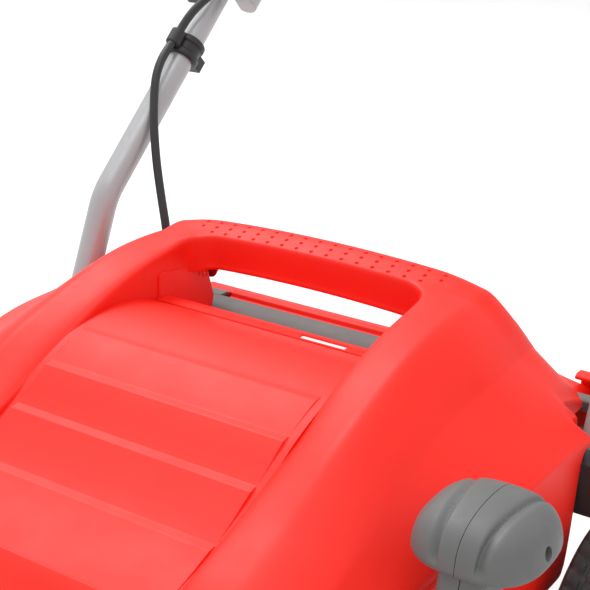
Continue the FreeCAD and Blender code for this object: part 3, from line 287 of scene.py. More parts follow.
def mirrored(values):
    """A half's distances out, repeated on the other side of zero."""
    return [-value for value in values[:0:-1]] + values


def extruded(name, outline, x0, x1):
    """A prism along X from a closed outline of (y, z)."""
    return mesh_from(name, [place(x, y, z) for x in (x0, x1) for y, z in outline], prism_faces(len(outline)))


def turned(name, profile, x0, y, z, segments=96, angle=35):
    """A closed ring turned about an axis along X: profile of (along, radius)."""
    verts = []
    for step in range(segments):
        turn = 2 * math.pi * step / segments
        for along, radius in profile:
            verts.append(place(x0 + along, y + radius * math.cos(turn), z + radius * math.sin(turn)))
    return mesh_from(name, verts, ring_faces(segments, len(profile)), angle)


def disc(name, radius, x0, x1, y, z, segments=48):
    """A capped round bar along X."""
    return extruded(name, circle(radius, y, z, segments), x0, x1)


def upright(name, radius, x, y, z0, z1, segments=40):
    """A capped round bar along Z."""
    ring = circle(radius, x, y, segments)
    return mesh_from(name, [place(u, v, z) for z in (z0, z1) for u, v in ring], prism_faces(segments))


def box_piece(name, x0, x1, y0, y1, z0, z1):
    return extruded(name, [(y0, z0), (y1, z0), (y1, z1), (y0, z1)], x0, x1)


def joined(objs):
    """One object from several."""
    first = objs[0]
    whole = bmesh.new()
    for obj in objs:
        whole.from_mesh(obj.data)
    whole.to_mesh(first.data)
    whole.free()
    for obj in objs[1:]:
        bpy.data.objects.remove(obj)
    return first


def smooth_rows(places, values, wanted):
    """Values between stations by a cubic that keeps its slope through each station."""
    places, values, wanted = (np.asarray(v, float) for v in (places, values, wanted))
    slopes = np.gradient(values, places)
    i = np.clip(np.searchsorted(places, wanted, side="right") - 1, 0, len(places) - 2)
    h = places[i + 1] - places[i]
    t = (wanted - places[i]) / h
    a, b = values[i], values[i + 1]
    m, n = slopes[i] * h, slopes[i + 1] * h
    return ((2 * t**3 - 3 * t**2 + 1) * a + (t**3 - 2 * t**2 + t) * m + (3 * t**2 - 2 * t**3) * b
            + (t**3 - t**2) * n)


def eased(t):
    """0 to 1 with a level start and end."""
    t = min(1.0, max(0.0, t))
    return t * t * (3 - 2 * t)


# ---------------------------------------------------------------- hood
# Stations along the hood: y, then heights over the cover height of the arm's inner edge and its crest,
# and (distance out, height) of the shoulder's fold and of the flank's edge.
STATIONS = [
    (-238, -158, -160, (174, -166), (204, -180)),
    (-216, -114, -114, (182, -122), (210, -140)),
    (-180, -78, -76, (186, -86), (214, -106)),
    (-138, -51, -47, (188, -60), (214, -82)),
    (-61, -25, -19, (189, -36), (222, -60)),
    (0, -2, 11, (188, -14), (234, -46)),
    (46, 18, 25, (185, -2), (242, -34)),
    (86, 30, 35, (184, 3), (247, -28)),
    (128, 38, 41, (188, 7), (249, -28)),
    (183, 40, 39, (184, 5), (249, -36)),
    (217, 38, 33, (181, -1), (249, -52)),
    (240, -10, -12, (182, -26), (249, -56)),
    (262, -36, -37, (182, -38), (249, -46)),
]
ARM_IN, CREST_X, BAY_X, POCKET_X, SLOT_X = 110, 147, 161, 221, 233.5
NOSE_Y, STRIP_Y, SLOT_Y, POCKET_Y, BAR_Y0, BAR_Y1, TAIL_Y = -238, -231, 168, 181, 183, 217, 262
# the window's corner radius in plan, the handle's arch and underside, and the moulding's edge rounding
CORNER, ARCH, BAR_LOW, EDGE_ROUND = 24, 7.5, 284, 3.4
# heights where the hood's walls end: nose, body, tube slot, bay behind the handle, side arch
NOSE_FOOT, BODY_FOOT, SLOT_FOOT, BAY_FOOT, ARCH_FOOT = 60, 142, 233, 200, 195
COVER_LINE = [(-138, -55), (-81, -39.4), (-37, -19.3), (0, 0), (38.5, 12.5), (70, 15.5), (95, 13), (112, 8),
              (126, 2.5)]


def cover_height_at(y):
    rows = COVER_LINE + [(150, -6), (187, -22)]
    return COVER + float(smooth_rows([r[0] for r in rows], [r[1] for r in rows], [min(max(y, -138), 187)])[0])


def bar_arch(x):
    """How far the carry handle bows up at a distance out."""
    return ARCH * max(0.0, 1 - (x / 150) ** 2)


def hood_grid():
    """The hood's top as rows of points (x, y, z), the same columns in each row."""
    turns = [NOSE_Y, -235, STRIP_Y, 138, 149, BAR_Y0 - CORNER, 163, SLOT_Y, 172, 176.5, POCKET_Y, BAR_Y0, 189,
             195, 201, 207, 212, BAR_Y1, 222, 230, 240, 250, 257, TAIL_Y]
    y_list = sorted(set(list(np.arange(-224, 130, 13.0)) + turns))
    ys = [row[0] for row in STATIONS]
    columns = {key: smooth_rows(ys, [pick(row) for row in STATIONS], y_list) for key, pick in {
        "inner": lambda r: r[1], "crest": lambda r: r[2], "fold_x": lambda r: r[3][0],
        "fold": lambda r: r[3][1], "flank_x": lambda r: r[4][0], "flank": lambda r: r[4][1]}.items()}
    inner_xs = [0, 20, 40, 60, 75, ARM_IN - CORNER, 94, 102, ARM_IN, 116, 124, 132, 140, CREST_X, BAY_X]
    rows = []
    for i, y in enumerate(y_list):
        at = {key: value[i] for key, value in columns.items()}
        fold_x, flank_x = at["fold_x"], at["flank_x"]
        profile_x = [0, 108, 124, CREST_X, fold_x, flank_x]
        profile_z = [at["inner"], at["inner"], at["inner"] * 0.55 + at["crest"] * 0.45 + 0.8, at["crest"],
                     at["fold"], at["flank"]]
        sharp = min(1.0, max(0.0, (y - 60) / 120))
        outer = [fold_x - 12, fold_x - 3 + 2 * sharp, fold_x, fold_x + 3 - 2 * sharp]
        outer = [max(BAY_X + 4 + 2 * k, x) for k, x in enumerate(outer)]
        if y >= SLOT_Y - 8:
            shelf = [max(outer[-1] + 2, 203), 212, POCKET_X, 227, SLOT_X, 242, flank_x]
        else:
            shelf = [fold_x + (flank_x - fold_x) * s for s in (0.12, 0.28, 0.46, 0.62, 0.77, 0.9, 1.0)]
        xs = inner_xs + outer + shelf
        zs = []
        for x in xs:
            if x <= CREST_X:
                zs.append(float(np.interp(x, profile_x, profile_z)))
            elif x <= fold_x:
                t = (x - CREST_X) / (fold_x - CREST_X)
                zs.append(float(at["crest"] + (at["fold"] - at["crest"]) * t + 9 * t * (1 - t)))
            else:
                t = (x - fold_x) / (flank_x - fold_x)
                zs.append(float(at["fold"] + (at["flank"] - at["fold"]) * t - 3.2 * t * (1 - t)))
        rise = eased((y - 140) / 40) * min(1.0, max(0.0, (TAIL_Y - y) / 30))
        rows.append([(x, y, COVER + z + rise * bar_arch(x)) for x, z in zip(xs, zs)])
    return y_list, rows


def in_hole(x, y):
    """Whether a spot on the hood's plan is open."""
    x = abs(x)
    window = x < ARM_IN and STRIP_Y < y < BAR_Y0
    bay = x < BAY_X and y > BAR_Y1
    slot = x > SLOT_X and y > SLOT_Y
    pocket = x > POCKET_X and y > POCKET_Y
    return window or bay or slot or pocket


def cheek_top(y):
    """The line where the arm's own inner wall ends and its lower panel begins."""
    return 295 - (y - 130) / 6


def wall_foot(x, y, top):
    """How far down the wall under an edge of the hood's plan goes."""
    x = abs(x)
    if y < STRIP_Y - 3:
        return NOSE_FOOT
    if y < STRIP_Y + 3 and x < ARM_IN - 2:
        return top - 5
    if x < ARM_IN + 1 and abs(y - BAR_Y1) < 3 or x < ARM_IN - 3 and BAR_Y0 - 1 < y < BAR_Y1:
        return BAR_LOW + bar_arch(x) - bar_arch(ARM_IN)
    if x < ARM_IN + 3 and y < BAR_Y0 + 1:
        if y > 140:
            return cheek_top(y) - 3
        return min(top - 6, cover_height_at(y) - 15)
    if x < BAY_X - 3 and y > BAR_Y1 - 6:
        return 262
    if x < BAY_X + 4 and y > BAR_Y1 - 6 and y < TAIL_Y - 3:
        return min(top - 6, BAY_FOOT)
    if y > TAIL_Y - 3 and x < POCKET_X + 2:
        return BODY_FOOT
    if POCKET_X - 6 < x < POCKET_X + 6 and y > POCKET_Y:
        return SLOT_FOOT - 1
    if x < SLOT_X + 2 and y > SLOT_Y + 4 or x > SLOT_X and y > 142:
        return SLOT_FOOT
    if -128 < y < -15:
        return min(ARCH_FOOT, top - 7)
    return NOSE_FOOT if y <= -128 else BODY_FOOT


def round_corner(x, y):
    """A spot on the window's edge, moved out onto its round rear corner; None where it stays."""
    side = 1 if x > 0 else -1
    x = abs(x)
    if x == ARM_IN and BAR_Y0 - CORNER < y <= BAR_Y0:
        turn = math.radians(45 * (y - BAR_Y0 + CORNER) / CORNER)
    elif y == BAR_Y0 and ARM_IN - CORNER < x < ARM_IN:
        turn = math.radians(90 - 45 * (x - ARM_IN + CORNER) / CORNER)
    else:
        return None
    return side * (ARM_IN - CORNER + CORNER * math.cos(turn)), BAR_Y0 - CORNER + CORNER * math.sin(turn)


def edge_chain(point, out, spot):
    """Points from the top of a free edge round its lip and down its wall."""
    x, y, z = point
    chain = [[x - out[0] * EDGE_ROUND * back, y - out[1] * EDGE_ROUND * back, z - EDGE_ROUND * down]
             for back, down in ((0.32, 0.3), (0.0, 1.0))]
    last = chain[-1][2]
    drop = last - wall_foot(*spot)
    # the handle's front face has a parting ridge near its lower edge
    ridged = abs(spot[0]) < ARM_IN - 3 and spot[1] == BAR_Y0
    steps = [(0.3, 0), (0.6, 0), (0.92, 0), (1, 0), (1, 0), (1, 0)]
    if ridged:
        steps = [(0.45, 0), (0.78, 0), (0.84, 0.9), (0.9, 0.9), (0.93, 0), (1, -1.5)]
    return chain + [[x + out[0] * shift, y + out[1] * shift, last - drop * share] for share, shift in steps]


def build_hood():
    y_list, rows = hood_grid()
    count = len(rows[0])
    verts, index = [], {}
    for r, row in enumerate(rows):
        for side in (-1, 1):
            for c, (x, y, z) in enumerate(row):
                if side == -1 and c == 0:
                    continue
                index[(r, side * c)] = len(verts)
                verts.append([side * x, y, z])
    faces = []
    for r in range(len(rows) - 1):
        for c in range(-count + 1, count - 1):
            a, b = (r, c), (r, c + 1)
            corners = [index[a], index[b], index[(r + 1, c + 1)], index[(r + 1, c)]]
            mid = np.mean([verts[i] for i in corners], axis=0)
            if not in_hole(mid[0], mid[1]):
                faces.append(tuple(corners))
    # the free edges, each with the way that its face runs along it
    edges = [(a, b) for face in faces for a, b in zip(face, face[1:] + face[:1])]
    taken = set(edges)
    free = {a: b for a, b in edges if (b, a) not in taken}
    before = {b: a for a, b in free.items()}
    spots = [tuple(v) for v in verts]
    for a in free:
        moved = round_corner(*spots[a][:2])
        if moved:
            verts[a] = [*moved, spots[a][2]]
    base = [tuple(v) for v in verts]
    rings = {}
    for a in free:
        along = np.array(base[free[a]][:2]) - np.array(base[before[a]][:2])
        along = along / (np.linalg.norm(along) or 1)
        out = (along[1], -along[0])
        x, y, z = base[a]
        verts[a] = [x - out[0] * EDGE_ROUND, y - out[1] * EDGE_ROUND, z]
        chain = edge_chain(base[a], out, spots[a])
        rings[a] = list(range(len(verts), len(verts) + len(chain)))
        verts += chain
    for a, b in free.items():
        top_a, top_b = a, b
        for low_a, low_b in zip(rings[a], rings[b]):
            faces.append((top_b, top_a, low_a, low_b))
            top_a, top_b = low_a, low_b
    # the underside of the carry handle
    row0, row1 = y_list.index(BAR_Y0), y_list.index(BAR_Y1)
    for c in range(-7, 7):
        corners = ((row0, c), (row0, c + 1), (row1, c + 1), (row1, c))
        faces.append(tuple(rings[index[corner]][-1] for corner in corners))
    mesh = bpy.data.meshes.new("hood_shell")
    mesh.from_pydata([tuple(place(*v)) for v in verts], [], faces)
    work = bmesh.new()
    work.from_mesh(mesh)
    bmesh.ops.remove_doubles(work, verts=work.verts, dist=2e-5)
    bmesh.ops.dissolve_degenerate(work, dist=1e-6, edges=work.edges)
    loose = [v for v in work.verts if not v.link_faces]
    bmesh.ops.delete(work, geom=loose, context="VERTS")
    bmesh.ops.recalc_face_normals(work, faces=work.faces)
    top = max(work.faces, key=lambda f: f.calc_center_median().z)
    if top.normal.z < 0:
        bmesh.ops.reverse_faces(work, faces=work.faces)
    work.to_mesh(mesh)
    work.free()
    hood = linked("hood_shell", mesh)
    modifier(hood, "SOLIDIFY", "wall", thickness=2.6 * MM, offset=-1, use_even_offset=False, use_rim=True)
    modifier(hood, "SUBSURF", "soft", levels=2, render_levels=2)
    return apply_all(hood, 50)


def dimple_tool(obj):
    """Small balls sunk in the carry handle's top: four rows, with two more at each end."""
    tree = BVHTree.FromPolygons([v.co.copy() for v in obj.data.vertices],
                                [tuple(p.vertices) for p in obj.data.polygons])
    spots = [(-98 + 14 * i, 187.5 + 7 * row) for i in range(15) for row in range(4)]
    spots += [(side * 112, 187.5 + 7 * row) for side in (-1, 1) for row in (1, 2)]
    balls = bmesh.new()
    for x, y in spots:
        hit = tree.ray_cast(place(x, y, 400), Vector((0, 0, -1)))
        centre = hit[0] + Vector((0, 0, 0.1 * MM))
        bmesh.ops.create_icosphere(balls, subdivisions=2, radius=1.75 * MM, matrix=Matrix.Translation(centre))
    mesh = bpy.data.meshes.new("dimples")
    balls.to_mesh(mesh)
    balls.free()
    return linked("dimples", mesh)


CABLE_X, CABLE_Y = -194, 245
hood = build_hood()
cut_away(hood, [dimple_tool(hood), upright("cable_hole", 8.2, CABLE_X, CABLE_Y, 180, 300)], 50)
finish_piece(hood, "chassis", "red_moulding", ["hood"])

# ---------------------------------------------------------------- hood's smaller mouldings
CHEEK = [(140, 240), (128, 262), (131, 294.4), (134, 295.6), (190, 286), (193, 283.5), (202, 254), (198, 240)]
TAIL = [(245, 240), (245, 242.6), (249, 244.6), (257, 243.6), (262, 238), (262, 142), (259.4, 142),
        (259.4, 236), (255, 240.6)]
RAIL_END = [(221, 228), (221, 236), (223, 237.5), (231, 237.5), (232, 236), (232, 228)]
BRACKET = [(224, 238), (224, 241), (226, 242.4), (236, 242), (240.4, 240.4), (240.4, 238.8), (230, 239.7)]
for side, word in SIDES:
    panel = [extruded(f"hood_cheek_{word}", CHEEK, *span(side, 108.6, 112))]
    for k in range(3):
        y0 = 182 + 5 * k
        rib = [(y0, 277 - 2 * k), (y0 + 1.6, 277 - 2 * k), (y0 + 2.2, 283.5 - k), (y0 + 0.6, 284 - k)]
        panel.append(extruded("rib", rib, *span(side, 107.9, 109)))
    cheek = joined(panel)
    bevel(cheek, 0.6, 2)
    finish_piece(cheek, "chassis", "red_moulding")
    for name, outline, near, far, soft, segments, slot in (
            ("hood_tail", TAIL, 203.6, 246, 1.1, 3, "red_moulding"),
            ("rail_end", RAIL_END, 164.5, 240, 0.8, 2, "grey_moulding"),
            ("hinge_bracket", BRACKET, 120, 145, 0.5, 2, "grey_moulding")):
        piece = extruded(f"{name}_{word}", outline, *span(side, near, far))
        bevel(piece, soft, segments)
        finish_piece(piece, "chassis", slot)


# ---------------------------------------------------------------- ribbed cover
RIBS = [-81, -37, 0, 38.5]
LEDGE = 6
PANEL_HALF, COVER_HALF = 105.6, 111.6
SEAM_Y = 126
LINE_Y, LINE_Z = [p[0] for p in COVER_LINE], [p[1] for p in COVER_LINE]


def line_at(y):
    return float(smooth_rows(LINE_Y, LINE_Z, [y])[0])


def shingle(y):
    """Height of the stepped panels over the cover's plain line: a flat ledge, then a slow fall."""
    back = -138
    for rib in RIBS:
        rise = 0.75 * (line_at(rib) - line_at(rib - LEDGE))
        if rib - LEDGE <= y <= rib:
            return rise * (rib - y) / LEDGE
        if back <= y < rib - LEDGE:
            return rise * ((y - back) / (rib - LEDGE - back)) ** 1.2
        back = rib
    return 0.0


def build_cover():
    ys = list(np.arange(-138, SEAM_Y, 4.0))
    for rib in RIBS:
        ys = [y for y in ys if abs(y - rib) > 2.2 and abs(y - rib + LEDGE) > 2.2]
        ys += [rib - LEDGE - 0.6, rib - LEDGE + 0.6, rib - 0.5, rib + 0.5]
    ys = sorted(ys + [SEAM_Y - 1])
    half_xs = [0, 14, 27, 48, 68, 88, 100, PANEL_HALF - 0.8, PANEL_HALF, PANEL_HALF + 0.6, COVER_HALF]
    xs = mirrored(half_xs)
    rows = []
    for y in ys:
        plain, stepped = line_at(y), line_at(y) + shingle(y)
        rows.append([place(x, y, COVER + (stepped if abs(x) < PANEL_HALF else plain)) for x in xs])
    tail = [(0, 1.6), (0.2, -1.2), (1.4, -1.2), (1.7, 2.2), (2.6, 2.9), (9, 3), (16, 1.6), (21, -3), (25, -10),
            (32, -17), (50, -24), (198 - SEAM_Y, -29)]
    rows += [[place(x, SEAM_Y + back, COVER + z) for x in xs] for back, z in tail]
    verts = [v for row in rows for v in row]
    # the slot is left out of the grid, in the row of faces behind the seam
    faces = [f for f in grid_faces(len(rows), len(xs))
             if f[0] // len(xs) != len(ys) + 4 or not xs.index(27) <= f[0] % len(xs) < xs.index(68)]
    cover = mesh_from("cover_panel", verts, faces, 7)
    if cover.data.polygons[0].normal.z < 0:
        cover.data.flip_normals()
    modifier(cover, "SOLIDIFY", "wall", thickness=2.4 * MM, offset=-1, use_even_offset=False)
    return apply_all(cover, 7)


finish_piece(build_cover(), "chassis", "red_moulding", ["ribbed_cover"])
insert = box_piece("cover_slot_insert", 26, 69, SEAM_Y + 1.8, SEAM_Y + 10, COVER - 0.6, COVER + 1.6)
bevel(insert, 0.4, 2)
finish_piece(insert, "chassis", "grey_moulding", look=PALE)


# ---------------------------------------------------------------- nose panel
def build_nose():
    ys = [row[0] for row in STATIONS]
    wanted = [-231.4, -226, -220, -212, -204, -196, -186, -176, -166, -156, -148, -142, -139.6]
    heights = smooth_rows(ys, [row[1] for row in STATIONS], wanted)
    xs = mirrored([0, 18, 36, 54, 72, 88, 100, 107.6, 109.2])
    verts = []
    for y, z in zip(wanted, heights):
        for x in xs:
            sunk = 1.6 if 0 < abs(x) < 90 and -214 < y < -150 else 0.0
            edge = 1.0 if abs(x) > 108 else 0.0
            verts.append(place(x, y, COVER + z - 0.5 - sunk - edge))
    nose = mesh_from("nose_cover", verts, grid_faces(len(wanted), len(xs)), 30)
    if nose.data.polygons[0].normal.z < 0:
        nose.data.flip_normals()
    modifier(nose, "SOLIDIFY", "wall", thickness=2.6 * MM, offset=-1, use_even_offset=False)
    modifier(nose, "SUBSURF", "soft", levels=2, render_levels=2)
    return apply_all(nose, 40)


finish_piece(build_nose(), "chassis", "red_moulding", ["nose_panel"])

# ---------------------------------------------------------------- rear flap
HINGE_Y, HINGE_Z, FLAP_HALF = 234, 233, 158
roof = [(247.6, 236.4), (264, 234), (268.4, 230.6), (269.6, 226), (275, 101), (272.2, 101), (266.6, 225.4),
        (263, 231), (247.6, 233.2)]
flap_parts = [extruded("roof", roof, -FLAP_HALF, FLAP_HALF)]
ridge = [(233.5, 238.6), (236, 242.4), (240, 243.6), (244, 242.4), (247.4, 237), (248, 233), (244, 231),
         (238, 229), (234, 227)]
flap_parts.append(extruded("ridge", ridge, -115, 115))
flap_parts.append(disc("barrel", 6.4, -115, 115, HINGE_Y, HINGE_Z))
for side, word in SIDES:
    flap_parts.append(disc("knuckle", 6.4, *span(side, 147, 158), HINGE_Y, HINGE_Z))
    arm = [(234, 228), (236, 234), (248, 236), (250, 233), (244, 228)]
    flap_parts.append(extruded("knuckle_arm", arm, *span(side, 147, 157.8)))
for low in (112, 205):
    skin = -(low - 101) * 0.043
    bar = [(y + skin, low + up) for y, up in ((274.4, 0), (276.0, 2), (275.6, 7), (273.6, 9))]
    flap_parts.append(extruded("flap_rib", bar, -150, 150))
flap = joined(flap_parts)
bevel(flap, 1.0, 3)
finish_piece(flap, "flap", "red_moulding", ["rear_flap"])


# ---------------------------------------------------------------- lever's knob
KNOB = (258, -21, 268)
KNOB_A, KNOB_B, KNOB_SKIRT = 42, 43.4, 11.4
SQUARENESS, SPLIT = 2.7, 0.22
SCREW_Y, SCREW_Z = -25, 267
# steps down the knob's side: place, height over its middle, share of its full reach
KNOB_PROFILE = [(0, 20.4, 0.02), (1, 20.2, 0.16), (2, 19.3, 0.35), (3, 17.5, 0.54), (4, 14.5, 0.71),
                (5, 10.4, 0.84), (6, 5.6, 0.925), (7, 0.4, 0.972), (8, -4.6, 0.995), (9, -8.6, 1.0),
                (9.5, -10.4, 0.985), (10, -11.3, 0.95)]


def flute_depth(x, y, part):
    """How deep a spot of the knob lies in one of its two flutes, which widen toward the front."""
    if part > 1:
        return 0.0
    share = (y + 42) / 84
    middle, half = 13 + 9.5 * share, 6.4 - 2.6 * share
    off = abs(x) - middle
    depth = 1 + off / 2.2 if off < 0 else 1 - off / half
    fade = min(1.0, max(0.0, (0.84 - part) / 0.1)) if y < 0 else 1.0
    return (3.6 - 1.0 * share) * eased(depth) * fade


def knob_row(part, count=400):
    """A ring of the knob: part 0 is the top, 1 the lower edge, up to 2 the hollow's middle."""
    if part <= 1:
        keys, heights, reaches = zip(*KNOB_PROFILE)
        z = float(smooth_rows(keys, heights, [part * 10])[0])
        reach = float(smooth_rows(keys, reaches, [part * 10])[0])
    else:
        t = part - 1
        reach, z = 0.93 * (1 - t), -KNOB_SKIRT + 4 * min(1.0, t * 8)
    steep = min(1.0, max(0.0, part * 1.45 - 0.15)) * math.pi / 2
    ring = []
    for cos, sin in circle(1, 0, 0, count):
        square = 0.97 * (abs(cos) ** SQUARENESS + abs(sin) ** SQUARENESS) ** (-1 / SQUARENESS)
        x, y = KNOB_A * reach * square * cos, KNOB_B * reach * square * sin
        sink = flute_depth(x, y, part)
        back = sink * math.sin(steep) / (math.hypot(x / KNOB_A, y / KNOB_B) or 1)
        ring.append(place(KNOB[0] + x - back * x / KNOB_A, KNOB[1] + y - back * y / KNOB_B,
                          KNOB[2] + z - sink * math.cos(steep)))
    return ring


def build_knob():
    parts = [0.02 * k for k in range(51)] + [1.01, 1.06, 1.125, 1.3, 1.6, 1.95]
    rows = [knob_row(part) for part in parts]
    count = len(rows[0])
    verts = [point for row in rows for point in row]
    faces = grid_faces(len(rows), count, wrap=True)
    faces += [tuple(range(count)), tuple(range((len(rows) - 1) * count, len(rows) * count))]
    whole = mesh_from("knob_whole", verts, faces, 32)
    modifier(whole, "SMOOTH", "even", factor=0.5, iterations=5)
    return apply_all(whole, 32)


def strap_outline(y0, z0, r0, y1, z1, r1, steps=14):
    """Outline of two round ends joined by straight sides."""
    run = math.atan2(z1 - z0, y1 - y0)
    lean = math.acos((r0 - r1) / math.hypot(y1 - y0, z1 - z0))
    points = []
    for i in range(steps + 1):
        turn = run + lean + (2 * math.pi - 2 * lean) * i / steps
        points.append((y0 + r0 * math.cos(turn), z0 + r0 * math.sin(turn)))
    for i in range(steps + 1):
        turn = run - lean + 2 * lean * i / steps
        points.append((y1 + r1 * math.cos(turn), z1 + r1 * math.sin(turn)))
    return points


def half_of(obj, keep, name):
    """One closed half of a mesh, cut in the knob's middle plane."""
    work = bmesh.new()
    work.from_mesh(obj.data)
    cut = bmesh.ops.bisect_plane(work, geom=work.verts[:] + work.edges[:] + work.faces[:],
                                 plane_co=place(KNOB[0] + SPLIT * keep, 0, 0), plane_no=(keep, 0, 0),
                                 clear_inner=True)
    edges = [e for e in cut["geom_cut"] if isinstance(e, bmesh.types.BMEdge)]
    bmesh.ops.holes_fill(work, edges=edges, sides=0)
    bmesh.ops.recalc_face_normals(work, faces=work.faces)
    mesh = bpy.data.meshes.new(name)
    work.to_mesh(mesh)
    work.free()
    made = linked(name, mesh)
    shade(made, 32)
    return made


knob = build_knob()
sleeve = extruded("sleeve", strap_outline(-48, 220, 15, -36, 254, 17), KNOB[0] - 15, KNOB[0] + 15)
bevel(sleeve, 4, 4)
apply_all(sleeve, 32)
for keep, word in ((-1, "inner"), (1, "outer")):
    top_half = half_of(knob, keep, f"knob_half_{word}")
    low_half = half_of(sleeve, keep, f"knob_sleeve_{word}")
    if keep == 1:
        hole = disc("screw_hole", 4.3, KNOB[0] + 28, KNOB[0] + 80, SCREW_Y, SCREW_Z)
        cut_away(top_half, [hole], 32)
    for piece in (top_half, low_half):
        bevel(piece, 0.35, 2, 50)
    finish_piece(top_half, "height_crank", "grey_moulding", [f"knob_{word}"])
    finish_piece(low_half, "height_crank", "grey_moulding")
bpy.data.objects.remove(knob)
bpy.data.objects.remove(sleeve)

# ---------------------------------------------------------------- handle
SLOPE = math.radians(41.8)
RUN_Y, RUN_Z = math.cos(SLOPE), math.sin(SLOPE)
BEND_Y, BEND_Z = 225, 312
FOLD_RUN = 250
GRIP_RUN = (1000 - BEND_Z) / RUN_Z
LOWER_X, UPPER_X = 248, 211
TUBE_R = 12.5
LEG, LEG_SLOPE = 132, math.radians(65)
FOOT = (BEND_Y - LEG * math.cos(LEG_SLOPE), BEND_Z - LEG * math.sin(LEG_SLOPE))


def on_handle(x, run, over=0.0):
    """A point beside the handle: run from its bend, and over square to the slope, in deck millimetres."""
    return (x, BEND_Y + run * RUN_Y - over * RUN_Z, BEND_Z + run * RUN_Z + over * RUN_Y)


def rounded(points, radius, step_degrees=4):
    """A path along straight runs with an arc at each inner corner."""
    points = [Vector(p) for p in points]
    path = [points[0]]
    for before_it, corner, after_it in zip(points, points[1:], points[2:]):
        a, b = (before_it - corner).normalized(), (after_it - corner).normalized()
        half = a.angle(b) / 2
        back = radius / math.tan(half)
        centre = corner + (a + b).normalized() * (radius / math.sin(half))
        start, end = corner + a * back, corner + b * back
        p, q = start - centre, end - centre
        total = p.angle(q)
        count = max(3, int(math.degrees(total) / step_degrees))
        axis = p.cross(q).normalized()
        for i in range(count + 1):
            path.append(centre + Matrix.Rotation(total * i / count, 3, axis) @ p)
    path.append(points[-1])
    return path


def sweep(name, path, radius, segments, shape=None):
    """A round capped tube along a path; shape(point, way out) may give another spot on its skin."""
    path = [Vector(p) for p in path]
    verts = []
    normal = None
    for i, point in enumerate(path):
        ahead = path[min(i + 1, len(path) - 1)] - path[max(i - 1, 0)]
        ahead.normalize()
        if normal is None:
            normal = ahead.cross(Vector((1, 0, 0)))
            if normal.length < 0.1:
                normal = ahead.cross(Vector((0, 0, 1)))
        normal = (normal - ahead * normal.dot(ahead)).normalized()
        side = ahead.cross(normal)
        for k in range(segments):
            turn = 2 * math.pi * k / segments
            way = normal * math.cos(turn) + side * math.sin(turn)
            verts.append(shape(point, way) if shape else point + way * radius)
    faces = grid_faces(len(path), segments, wrap=True)
    faces += [tuple(range(segments)), tuple(range((len(path) - 1) * segments, len(path) * segments))]
    return mesh_from(name, verts, faces, 40)


def densified(path, step):
    """The same path with no gap longer than step."""
    out = [path[0]]
    for a, b in zip(path, path[1:]):
        count = max(1, int((b - a).length / step))
        out += [a + (b - a) * (i + 1) / count for i in range(count)]
    return out


def crimped(point, way, inward, share):
    """A spot on a tube's skin whose inward side goes flat as share goes to 1, for the fold joint."""
    spot = point + way * TUBE_R
    limit = TUBE_R - FLAT_DEPTH * eased(share)
    off = (spot.x - point.x) * inward
    if off > limit:
        spot.x = point.x + inward * (limit + (off - limit) * 0.06)
    return spot


def handle_tube(name, corners, radius, step, shape, body, node):
    """A bent handle tube, made in deck millimetres."""
    tube = sweep(name, densified(rounded(corners, radius), step), TUBE_R, 44, shape)
    for vertex in tube.data.vertices:
        vertex.co = place(*vertex.co)
    bevel(tube, 0.8, 2, 60)
    finish_piece(tube, body, "silver_tube", [node])


FLAT_DEPTH, FLAT_RAMP = 4.3, 14
flat_from, round_from = on_handle(0, FOLD_RUN - 28)[1], on_handle(0, FOLD_RUN + 28)[1]
for side, word in SIDES:
    x = side * LOWER_X
    handle_tube(f"handle_lower_{word}", [(x, *FOOT), (x, BEND_Y, BEND_Z), on_handle(x, FOLD_RUN + 24)], 60, 6,
                lambda point, way: crimped(point, way, -side, (point.y - flat_from) / FLAT_RAMP),
                "chassis", f"lower_tube_{word}")

handle_tube("handle_upper", [on_handle(-UPPER_X, FOLD_RUN - 24), on_handle(-UPPER_X, GRIP_RUN),
                             on_handle(UPPER_X, GRIP_RUN), on_handle(UPPER_X, FOLD_RUN - 24)], 62, 8,
            lambda point, way: crimped(point, way, math.copysign(1, point.x), (round_from - point.y) / FLAT_RAMP),
            "handle", "upper_handle")

fold_y, fold_z = on_handle(0, FOLD_RUN)[1:]
spacer = joined([disc("spacer", 9, *span(side, 219.4, 239.6), fold_y, fold_z) for side, _ in SIDES])
bevel(spacer, 0.8, 3)
finish_piece(spacer, "chassis", "black_moulding", ["joint_spacers"])

# ---------------------------------------------------------------- motor cable, its clips and reliefs
BESIDE = -(UPPER_X + TUBE_R + 6)
LIFT = TUBE_R + 7
CLIP_RUN = FOLD_RUN - 85
lower_route = [
    on_handle(BESIDE, FOLD_RUN, LIFT + 2.5),
    on_handle(BESIDE, FOLD_RUN - 26, LIFT + 2.5),
    on_handle(BESIDE - 12, FOLD_RUN - 55, LIFT + 5.5),
    on_handle(-LOWER_X, CLIP_RUN + 2, LIFT + 0.8),
    (-246, 302, 416),
    (-235, 282, 382),
    (-222, 267, 343),
    (-206, 254, 306),
    (CABLE_X, CABLE_Y + 1, 276),
    (CABLE_X, CABLE_Y, 240),
]
upper_route = [
    on_handle(BESIDE, FOLD_RUN + 26, LIFT + 2.5),
    on_handle(-UPPER_X - 5, FOLD_RUN + 58, LIFT + 2),
    on_handle(-UPPER_X, FOLD_RUN + 100, LIFT),
    on_handle(-UPPER_X, GRIP_RUN - 188, LIFT + 1),
    on_handle(-UPPER_X + 6, GRIP_RUN - 150, LIFT),
    on_handle(-UPPER_X + 31, GRIP_RUN - 118, 17),
    on_handle(-UPPER_X + 59, GRIP_RUN - 100, 12),
    on_handle(-135, GRIP_RUN - 74, 6),
    on_handle(-135, GRIP_RUN - 45, 6),
]
route = [place(*point) for point in lower_route[::-1] + upper_route]
CABLE_DIAMETER = 0.008


